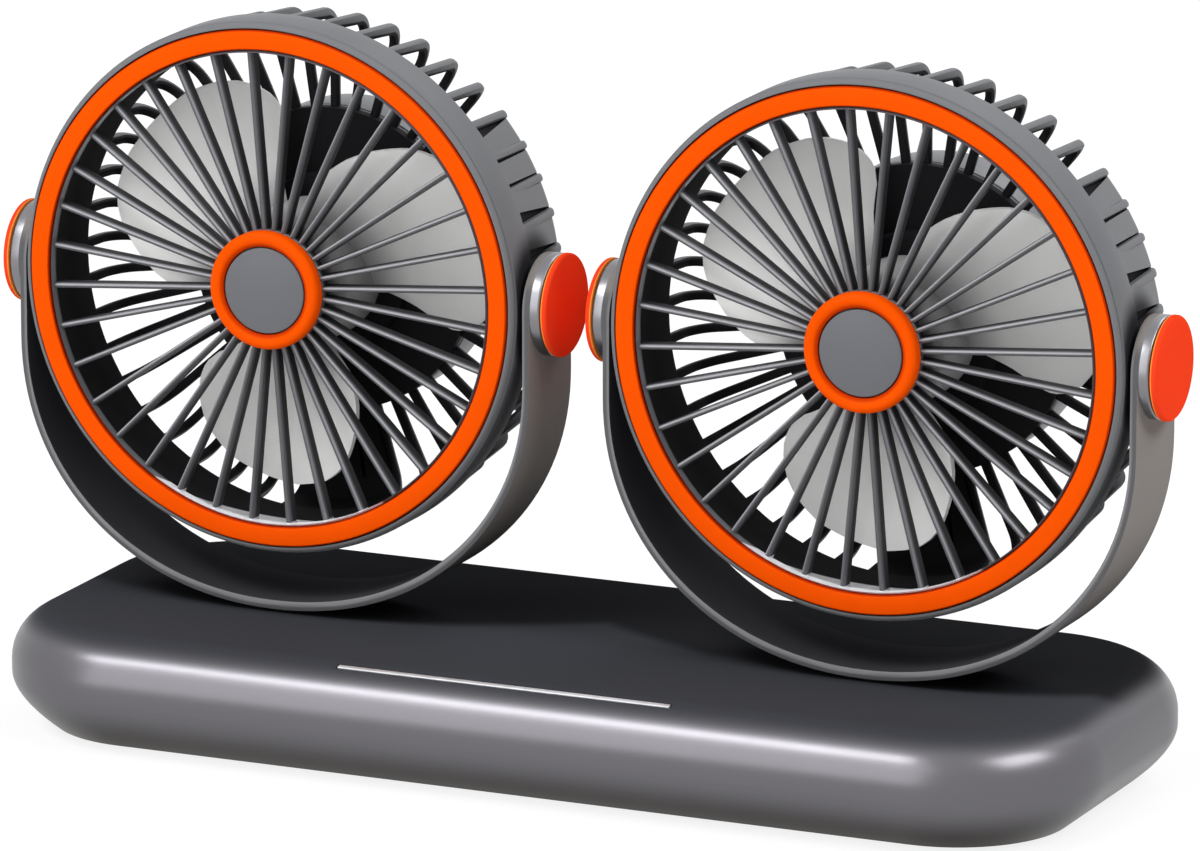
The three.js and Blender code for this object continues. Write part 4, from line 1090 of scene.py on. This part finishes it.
def grille(s):
    """Hub, rim with its collar, and slats."""
    plug = s.hub_inner - s.gap
    hub = [
        (0, s.hub_face), (plug, s.hub_face, SOFT), (plug, s.slat_front),
        (s.hub_outer, s.slat_front), (s.hub_outer, s.slat_back, FULL),
        (0, s.slat_back),
    ]
    collar = s.ring_inner + s.collar
    rim = [
        (s.ring_inner, s.ring_front + s.gap),
        (collar, s.ring_front + s.collar * 2), (collar, s.rim_front),
        (s.ring_outer, s.rim_front), (s.ring_outer, s.slat_back),
        (s.rim_inner, s.slat_back, EASED), (s.rim_inner, s.rim_front),
        (s.ring_inner, s.rim_front),
    ]
    return united(turned(hub, HUB), turned(rim, RIM), grille_slats(s))


class FAN_OT_front_grilles(bpy.types.Operator):
    """Makes the grilles: hub, slats and the rim behind the trim ring"""

    bl_idname = "fan.front_grilles"
    bl_label = "Front Grilles"

    def execute(self, context):
        names = ("grille_moulding", "head", "grey_plastic", "front_grille")
        on_both_heads(grille, context.scene.fan_head, *names, "grille_plastic")
        return {"FINISHED"}


def housing_ribs(s):
    """All ribs: down the side, round the shoulder and in to the drum."""
    back = s.shoulder_place + s.shoulder_arc
    root = s.drum - s.gap
    inner = s.shoulder_arc - s.rib_depth
    foot = s.duct_outer - 2 * s.gap
    corners = [
        (foot, s.band_back - s.gap),
        (s.band - s.rib_setback, s.band_back - s.gap),
        (s.shoulder + s.shoulder_arc, back),
        (root, back),
        (root, back - s.rib_depth),
        (s.shoulder + inner, back - s.rib_depth),
    ]
    bm = bmesh.new()
    verts = [bm.verts.new((x, y, -s.rib_width / 2)) for x, y in corners]
    bm.faces.new(verts)
    for vert, radius in ((verts[2], s.shoulder_arc), (verts[5], inner)):
        rounded(bm, [vert], radius, 8, "VERTICES")
    grown(bm, (0, 0, s.rib_width))
    tidy(bm)
    rims = [
        edge
        for edge in bm.edges
        if edge.calc_face_angle(0) > math.radians(70)
        and abs(edge.verts[0].co.z - edge.verts[1].co.z) < s.gap
    ]
    rounded(bm, rims, s.rib_edge, 2)
    repeated(bm, s.rib_count)
    return turn_about(bm, "Y", -math.pi / 2)


def housing_wall(s, from_rib, to_rib):
    """A closed sector between two ribs, counted clockwise from the top."""
    arc = s.shoulder_arc - s.wall_setback
    inner = s.shoulder_arc - s.rib_depth
    root = s.drum - s.gap
    pitch = WHOLE_TURN / s.rib_count
    corners = [
        (s.duct_inner + s.gap, s.duct_back),
        (s.duct_outer - s.gap, s.band_back - s.gap),
        (s.band - s.gap, s.band_back - s.gap),
        (s.shoulder + arc, s.shoulder_place + arc, arc, 8),
        (root, s.shoulder_place + arc),
        (root, s.shoulder_place + inner),
        (s.shoulder + inner, s.shoulder_place + inner, inner, 8),
    ]
    ribs = to_rib - from_rib
    return turned(corners, 4 * ribs, pitch * from_rib, pitch * ribs)


def side_groove(s, rib, side, front, back):
    """A cutter beside one rib, on its clockwise side for 1 or the other for -1, as wide
    as it is at the front and at the back."""
    near = s.rib_width / 2 - s.gap
    end = s.shoulder_place + s.shoulder_arc / 2
    outline = [
        (near * side, s.band_back),
        ((near + s.gap + front) * side, s.band_back),
        ((near + s.gap + back) * side, end),
        (near * side, end),
    ]
    cutter = thickened(outline, "Z", 2 * s.groove_depth)
    shifted(cutter, (0, -s.band_back, 0))
    drop = s.band - s.rib_setback - s.shoulder - s.shoulder_arc
    turn_about(cutter, "X", -math.atan(drop / (s.shoulder_place - s.band_back)))
    shifted(cutter, (0, s.band_back, s.band - s.rib_setback))
    return turn_about(cutter, "Y", WHOLE_TURN * rib / s.rib_count)


def housing_band(s):
    """The band round the front, its lip and groove, the ledge and the air duct."""
    groove = s.lip_front + s.lip_bevel
    floor = s.band - 2 * s.groove
    bend = 0.002
    corners = [
        (s.duct_inner, s.ledge),
        (s.recess, s.ledge),
        (s.recess, s.lip_front, CRISP, 1),
        (s.band - s.lip_bevel, s.lip_front, MILD),
        (s.band - s.groove, groove, SOFT, 2),
        (floor, groove + s.groove),
        (floor, groove + 2 * s.groove),
        (s.band, groove + 3 * s.groove, CRISP, 1),
        (s.band, s.band_back, MILD),
        (s.duct_outer, s.band_back),
        (s.throat + s.throat_wall, s.throat_back, SOFT),
        (s.throat, s.throat_back, SOFT),
        (s.duct_inner, s.band_back, bend, 4),
    ]
    return turned(corners, RING)


def housing_drum(s):
    """The drum behind the ribs, with the motor's seat."""
    back = s.shoulder_place + s.shoulder_arc
    plate = back - s.plate
    seat = plate - s.seat_height
    well = s.boss * 2.4
    seat_edge = 0.0008
    corners = [
        (s.boss, seat), (s.seat, seat, seat_edge), (s.seat, plate), (s.drum, plate),
        (s.drum, back, FULL), (well, back), (well, plate), (s.boss, plate),
    ]
    return turned(corners, DRUM)


def housing(s):
    """Band, drum, ribs, closed sectors and pivot bosses."""
    first = s.side_wall_start
    grooves = [
        (first, 1, s.wide_groove, 0),
        (first + 1, 1, s.fine_groove, s.fine_groove / 2),
        (first + 2, -1, s.fine_groove, s.fine_groove / 2),
        (first + 3, -1, s.wide_groove, s.fine_groove / 2),
        (first + 4, -1, s.wide_groove, s.fine_groove / 2),
    ]
    side = housing_wall(s, first, s.side_wall_end)
    side = carved(side, *[side_groove(s, *groove) for groove in grooves])
    floor = housing_wall(s, s.floor_wall_start, s.floor_wall_end)
    start = s.duct_inner + s.gap
    bosses = [
        sideways(rod(s.boss, start, s.boss_face, PIN, at_high=(EASED,)), outward)
        for outward in (1, -1)
    ]
    return united(housing_band(s), housing_drum(s), housing_ribs(s), side, floor, *bosses)


class FAN_OT_rear_housings(bpy.types.Operator):
    """Makes the housings: front band, rear ribs, closed sectors and motor seat"""

    bl_idname = "fan.rear_housings"
    bl_label = "Rear Housings"

    def execute(self, context):
        names = ("housing_moulding", "head", "grey_plastic", "rear_housing")
        on_both_heads(housing, context.scene.fan_head, *names, "housing_plastic")
        return {"FINISHED"}


def rear_cap(s):
    """The cup over the motor, with a post and a well for each screw."""
    hole = s.button + s.gap
    inside = s.drum - s.cap_wall
    floor = s.cap_back - s.cap_wall
    corner = over = 0.001
    corners = [
        (inside, s.cap_front), (s.drum, s.cap_front, MILD),
        (s.drum, s.cap_back, s.cap_rounding, 8), (hole, s.cap_back, FULL),
        (hole, floor), (inside, floor, corner),
    ]
    cup = turned(corners, DRUM)
    wells = []
    for up in (s.cap_screws, -s.cap_screws):
        post = rod(s.post, s.cap_front, s.cap_back - s.cap_wall / 2, POST)
        cup = united(cup, shifted(post, (0, 0, up)))
        well = rod(s.well, s.cap_back - s.well_depth, s.cap_back + over, POST)
        wells.append(shifted(well, (0, 0, up)))
    return carved(cup, *wells)


class FAN_OT_rear_caps(bpy.types.Operator):
    """Makes the caps over the motors, with their screws and speed buttons"""

    bl_idname = "fan.rear_caps"
    bl_label = "Rear Caps"

    def execute(self, context):
        s = context.scene.fan_head
        names = ("cap_moulding", "head", "grey_plastic", "rear_cap")
        on_both_heads(rear_cap, s, *names, "cap_plastic")
        screw_head = context.scene.fan_base.screw_head
        shank_radius = context.scene.fan_base.shank
        for side, pivot in PIVOTS.items():
            for name, up in (("upper", s.cap_screws), ("lower", -s.cap_screws)):
                node = f"{side}_cap_screw_{name}"
                low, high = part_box(node)
                head = cross_headed(s.screw, screw_head)
                shank = rod(shank_radius, 0, s.shank_length, SHANK)
                shifted(head, (0, high.y - screw_head, pivot.z + up))
                shifted(shank, (0, low.y, pivot.z + up))
                screw = shifted(united(head, shank), (pivot.x, 0, 0))
                piece(screw, node + "_head", side + "_head_body", "steel", node)
            node = side + "_speed_button"
            low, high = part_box(node)
            flange, proud = low.y - pivot.y, high.y - pivot.y
            step = flange + s.flange_depth
            dish = 0.0004
            corners = [
                (0, flange), (s.flange, flange), (s.flange, step), (s.button, step),
                (s.button, proud, FULL), (s.button * 0.7, proud),
                (s.button * 0.55, proud - dish * 0.75), (0, proud - dish),
            ]
            button = shifted(turned(corners, HUB), pivot)
            body = side + "_button_body"
            piece(button, side + "_button_cap", body, "red_plastic", node)
        return {"FINISHED"}


def yoke_curve(half_width, drop, s, steps):
    """The yoke's bend from the right arm round to the left, as (x, z) corners."""
    corners = []
    for i in range(steps + 1):
        turn = math.pi * i / steps
        across, down = math.cos(turn), math.sin(turn)
        power = 2 / s.fullness
        x = math.copysign(abs(across) ** power, across) * half_width
        corners.append((x, -s.straight - drop * down**power))
    return corners


def yoke_band(s):
    """The band of the yoke with its arms rounded over at the top."""
    inner = s.half_width - s.thickness
    drop = s.bottom - s.straight
    top = s.depth / 2
    outline = [
        (inner, top), (s.half_width, top),
        *yoke_curve(s.half_width, drop, s, 72),
        (-s.half_width, top), (-inner, top),
        *reversed(yoke_curve(inner, drop - s.bottom_thickness, s, 72)),
    ]
    band = thickened(outline, "Y", s.depth)
    steps = 24
    turns = [math.pi * i / steps for i in range(steps + 1)]
    tip = [(-top, -s.bottom - top), (top, -s.bottom - top)]
    tip += [(top * math.cos(turn), top * math.sin(turn)) for turn in turns]
    side_view = thickened(tip, "X", 3 * s.half_width)
    return carved(band, side_view, operation="INTERSECT")


def yoke(s):
    """The band with its pivot bosses and swivel peg."""
    outer, foot = s.depth / 2, s.half_width - s.edge
    bore = outer - s.boss_wall
    bosses = [
        sideways(rod(outer, foot, s.boss_face, HUB, (), (FULL,), bore), outward)
        for outward in (1, -1)
    ]
    low, high = -s.bottom - s.peg_length, -s.bottom + s.edge
    peg = upright(rod(s.peg, low, high, PIN, bore=s.peg_bore))
    return united(softened(yoke_band(s), s.edge), *bosses, peg)


class FAN_OT_yokes(bpy.types.Operator):
    """Makes the yokes with their pivot bosses and swivel pegs"""

    bl_idname = "fan.yokes"
    bl_label = "Yokes"

    def execute(self, context):
        names = ("yoke_moulding", "yoke", "yoke_plastic", "yoke")
        on_both_heads(yoke, context.scene.fan_yoke, *names)
        return {"FINISHED"}


class FAN_OT_pivot_caps(bpy.types.Operator):
    """Makes the coloured caps on the yokes' pivots"""

    bl_idname = "fan.pivot_caps"
    bl_label = "Pivot Caps"

    def execute(self, context):
        s = context.scene.fan_yoke
        low = s.boss_face + s.gap
        high = low + s.cap_thickness
        corners = [
            (0, low), (s.cap, low, SOFT), (s.cap, high - s.cap_chamfer, SOFT),
            (s.cap - s.cap_chamfer, high, SOFT), (0, high),
        ]
        for side, outer in (("left", -1), ("right", 1)):
            for name, outward in (("outer", outer), ("inner", -outer)):
                node = f"{side}_{name}_pivot_cap"
                cap = shifted(sideways(turned(corners, DRUM), outward), PIVOTS[side])
                piece(cap, node + "_disc", side + "_yoke_body", "red_plastic", node)
        return {"FINISHED"}


BLADE_SHARES = (0.32, 0.55, 0.67, 0.756, 0.83, 0.89, 0.94, 0.976, 1.0)
BLADE_LEADING = (-50, -47.5, -41, -35.5, -30.5, -26.5, -22, -17, -8)
BLADE_TRAILING = (29, 35, 39, 39.5, 37, 33, 28, 22, 14)


def along_table(share, table):
    """A value between a table's entries at that share of the tip radius."""
    for i in range(len(BLADE_SHARES) - 1):
        low, high = BLADE_SHARES[i], BLADE_SHARES[i + 1]
        if share <= high:
            part = max(0.0, (share - low) / (high - low))
            return table[i] + (table[i + 1] - table[i]) * part
    return table[-1]


def blade(s):
    """One blade: a grid laid on a helix between its leading and trailing edges."""
    crowding = 1.6
    bm = bmesh.new()
    bmesh.ops.create_grid(bm, x_segments=22, y_segments=18, size=0.5)
    first, last = min(BLADE_LEADING), max(BLADE_TRAILING)
    root = BLADE_SHARES[0]
    for vert in bm.verts:
        out, along = vert.co.x + 0.5, vert.co.y + 0.5
        share = root + (1 - root) * (1 - (1 - out) ** crowding)
        lead = along_table(share, BLADE_LEADING)
        clock = lead + (along_table(share, BLADE_TRAILING) - lead) * along
        climb = s.front + s.rise * (clock - first) / (last - first)
        radius = s.tip * share
        turn = math.radians(clock)
        vert.co = (radius * math.sin(turn), climb, radius * math.cos(turn))
    bmesh.ops.recalc_face_normals(bm, faces=bm.faces[:])
    bmesh.ops.solidify(bm, geom=bm.faces[:], thickness=s.thickness)
    return softened(tidy(bm), s.thickness * 0.35, 2, 60)


def impeller(s):
    """The rounded hub with its blades."""
    inner = s.hub - s.hub_wall
    floor = s.hub_front + s.hub_wall
    corners = [
        (0, s.hub_front),
        (s.hub, s.hub_front, s.hub_rounding, 6),
        (s.hub, s.hub_back, EASED), (inner, s.hub_back, EASED), (inner, floor),
        (s.socket, floor), (s.socket, s.hub_back), (s.shaft, s.hub_back),
        (s.shaft, s.shaft_end), (0, s.shaft_end),
    ]
    blades = turn_about(repeated(blade(s), s.blades), "Y", s.first_blade)
    return united(turned(corners, HUB), blades)


class FAN_OT_impellers(bpy.types.Operator):
    """Makes the impellers: a rounded hub and milky twisted blades"""

    bl_idname = "fan.impellers"
    bl_label = "Impellers"

    def execute(self, context):
        names = ("impeller_moulding", "rotor", "blade_plastic", "impeller")
        on_both_heads(impeller, context.scene.fan_impeller, *names)
        return {"FINISHED"}


class FAN_OT_frame_finishes(bpy.types.Operator):
    """Gives the frame's own nodes that stay in view their finishes"""

    bl_idname = "fan.frame_finishes"
    bl_label = "Frame Finishes"

    def execute(self, context):
        slots = {p["node"]: p["material_slot"] for p in frame["record"]["subparts"]}
        materials = finishes(context.scene.fan_colours)
        wanted = {"dark_plastic": "washer_plastic", "grey_plastic": "cap_plastic"}
        for name, node in frame["nodes"].items():
            for place in node.material_slots:
                place.material = materials[wanted.get(slots[name], slots[name])]
        return {"FINISHED"}


class FAN_OT_stage(bpy.types.Operator):
    """Sets up the floor, the lamps, the sky and the camera"""

    bl_idname = "fan.stage"
    bl_label = "Stage"

    def execute(self, context):
        scene = context.scene
        plane = bmesh.new()
        bmesh.ops.create_grid(plane, x_segments=1, y_segments=1, size=12.0)
        floor = placed(plane, "floor")
        floor.data.materials.append(floor_finish())
        sky()
        lamp("key", (-0.52, -0.66, 1.05), (0.75, 0.3), 8.5)
        lamp("front", (-0.5, -1.4, 0.55), (1.2, 1.6), 12.4)
        lamp("side", (1.0, -0.1, 1.0), (0.8, 0.5), 9.0)
        lamp("rear_top", (0.35, 0.9, 1.1), (0.9, 0.6), 6.0)
        data = bpy.data.cameras.new("camera")
        data.sensor_fit = "HORIZONTAL"
        data.sensor_width = 36
        data.lens = 311.58
        place, back = (0.8887, -1.9658, 0.6095), Vector((0.3988, -0.8846, 0.2419))
        scene.camera = aimed("camera", data, place, back)
        scene.view_settings.view_transform = "Standard"
        return {"FINISHED"}


def aimed(name, data, place, back):
    """A lamp or camera at its place, with its back turned that way."""
    obj = bpy.data.objects.new(name, data)
    bpy.context.scene.collection.objects.link(obj)
    obj.location = place
    obj.rotation_mode = "QUATERNION"
    obj.rotation_quaternion = back.to_track_quat("Z", "Y")
    return obj


def lamp(name, place, spans, power):
    """A soft rectangular lamp that faces the middle of the fan."""
    data = bpy.data.lights.new(name, "AREA")
    data.shape = "RECTANGLE"
    data.size, data.size_y = spans
    data.energy = power
    middle = Vector((0, 0, 0.06))
    aimed(name, data, place, Vector(place) - middle)


def floor_finish():
    """A pale floor that is white where it is lit and still takes the fan's shadow."""
    finish = Finish("floor")
    nearby, beyond, own_share, strength = 0.45, 0.95, 0.25, 1.12
    finish.shade(Base_Color=(0.8, 0.8, 0.8, 1), Roughness=1.0, Specular_IOR_Level=0.0)
    own = Wire(finish, finish.shader.outputs[0])
    glow = finish.node("ShaderNodeEmission", inputs={"Strength": strength})
    x, y, _ = finish.parts()
    far = (x * x + y * y).root().ramp(nearby, beyond)
    share = finish.seen() * (1 - own_share + far * own_share)
    mix = finish.node("ShaderNodeMixShader", inputs={0: share, 1: own, 2: glow})
    finish.feed(finish.tree.nodes["Material Output"], {"Surface": mix})
    return finish.material


def sky():
    """White where it is seen, and a dimmer grey as a source of light."""
    world = bpy.data.worlds.new("sky")
    world.use_nodes = True
    graph = Graph(world.node_tree)
    lighting, white = 0.25, 1.05
    strength = lighting + graph.seen() * (white - lighting)
    background = world.node_tree.nodes["Background"]
    graph.feed(background, {"Color": (1, 1, 1, 1), "Strength": strength})
    bpy.context.scene.world = world


GROUPS = {
    "fan_base": FanBaseSizes,
    "fan_head": FanHeadSizes,
    "fan_impeller": FanImpellerSizes,
    "fan_yoke": FanYokeSizes,
    "fan_colours": FanColours,
}
OPERATORS = [
    FAN_OT_stage,
    FAN_OT_frame_finishes,
    FAN_OT_base_shell,
    FAN_OT_base_fittings,
    FAN_OT_yokes,
    FAN_OT_pivot_caps,
    FAN_OT_rear_housings,
    FAN_OT_front_grilles,
    FAN_OT_trim_rings,
    FAN_OT_hub_rings,
    FAN_OT_rear_caps,
    FAN_OT_impellers,
]


class FAN_PT_builder(bpy.types.Panel):
    """Lists the fan's pieces and the sizes and colours they are made to"""

    bl_idname = "FAN_PT_builder"
    bl_label = "Desk Fan"
    bl_space_type = "VIEW_3D"
    bl_region_type = "UI"
    bl_category = "Desk Fan"

    def draw(self, context):
        for operator in OPERATORS:
            self.layout.operator(operator.bl_idname)
        for group in GROUPS:
            values = getattr(context.scene, group)
            column = self.layout.column(align=True)
            for name in values.__annotations__:
                column.prop(values, name)


def register():
    for name, group in GROUPS.items():
        bpy.utils.register_class(group)
        setattr(bpy.types.Scene, name, bpy.props.PointerProperty(type=group))
    for cls in [*OPERATORS, FAN_PT_builder]:
        bpy.utils.register_class(cls)


def unregister():
    for cls in [FAN_PT_builder, *reversed(OPERATORS)]:
        bpy.utils.unregister_class(cls)
    for name, group in reversed(GROUPS.items()):
        delattr(bpy.types.Scene, name)
        bpy.utils.unregister_class(group)


def main():
    register()
    for operator in OPERATORS:
        area, name = operator.bl_idname.split(".")
        getattr(getattr(bpy.ops, area), name)()


if __name__ == "__main__":
    main()
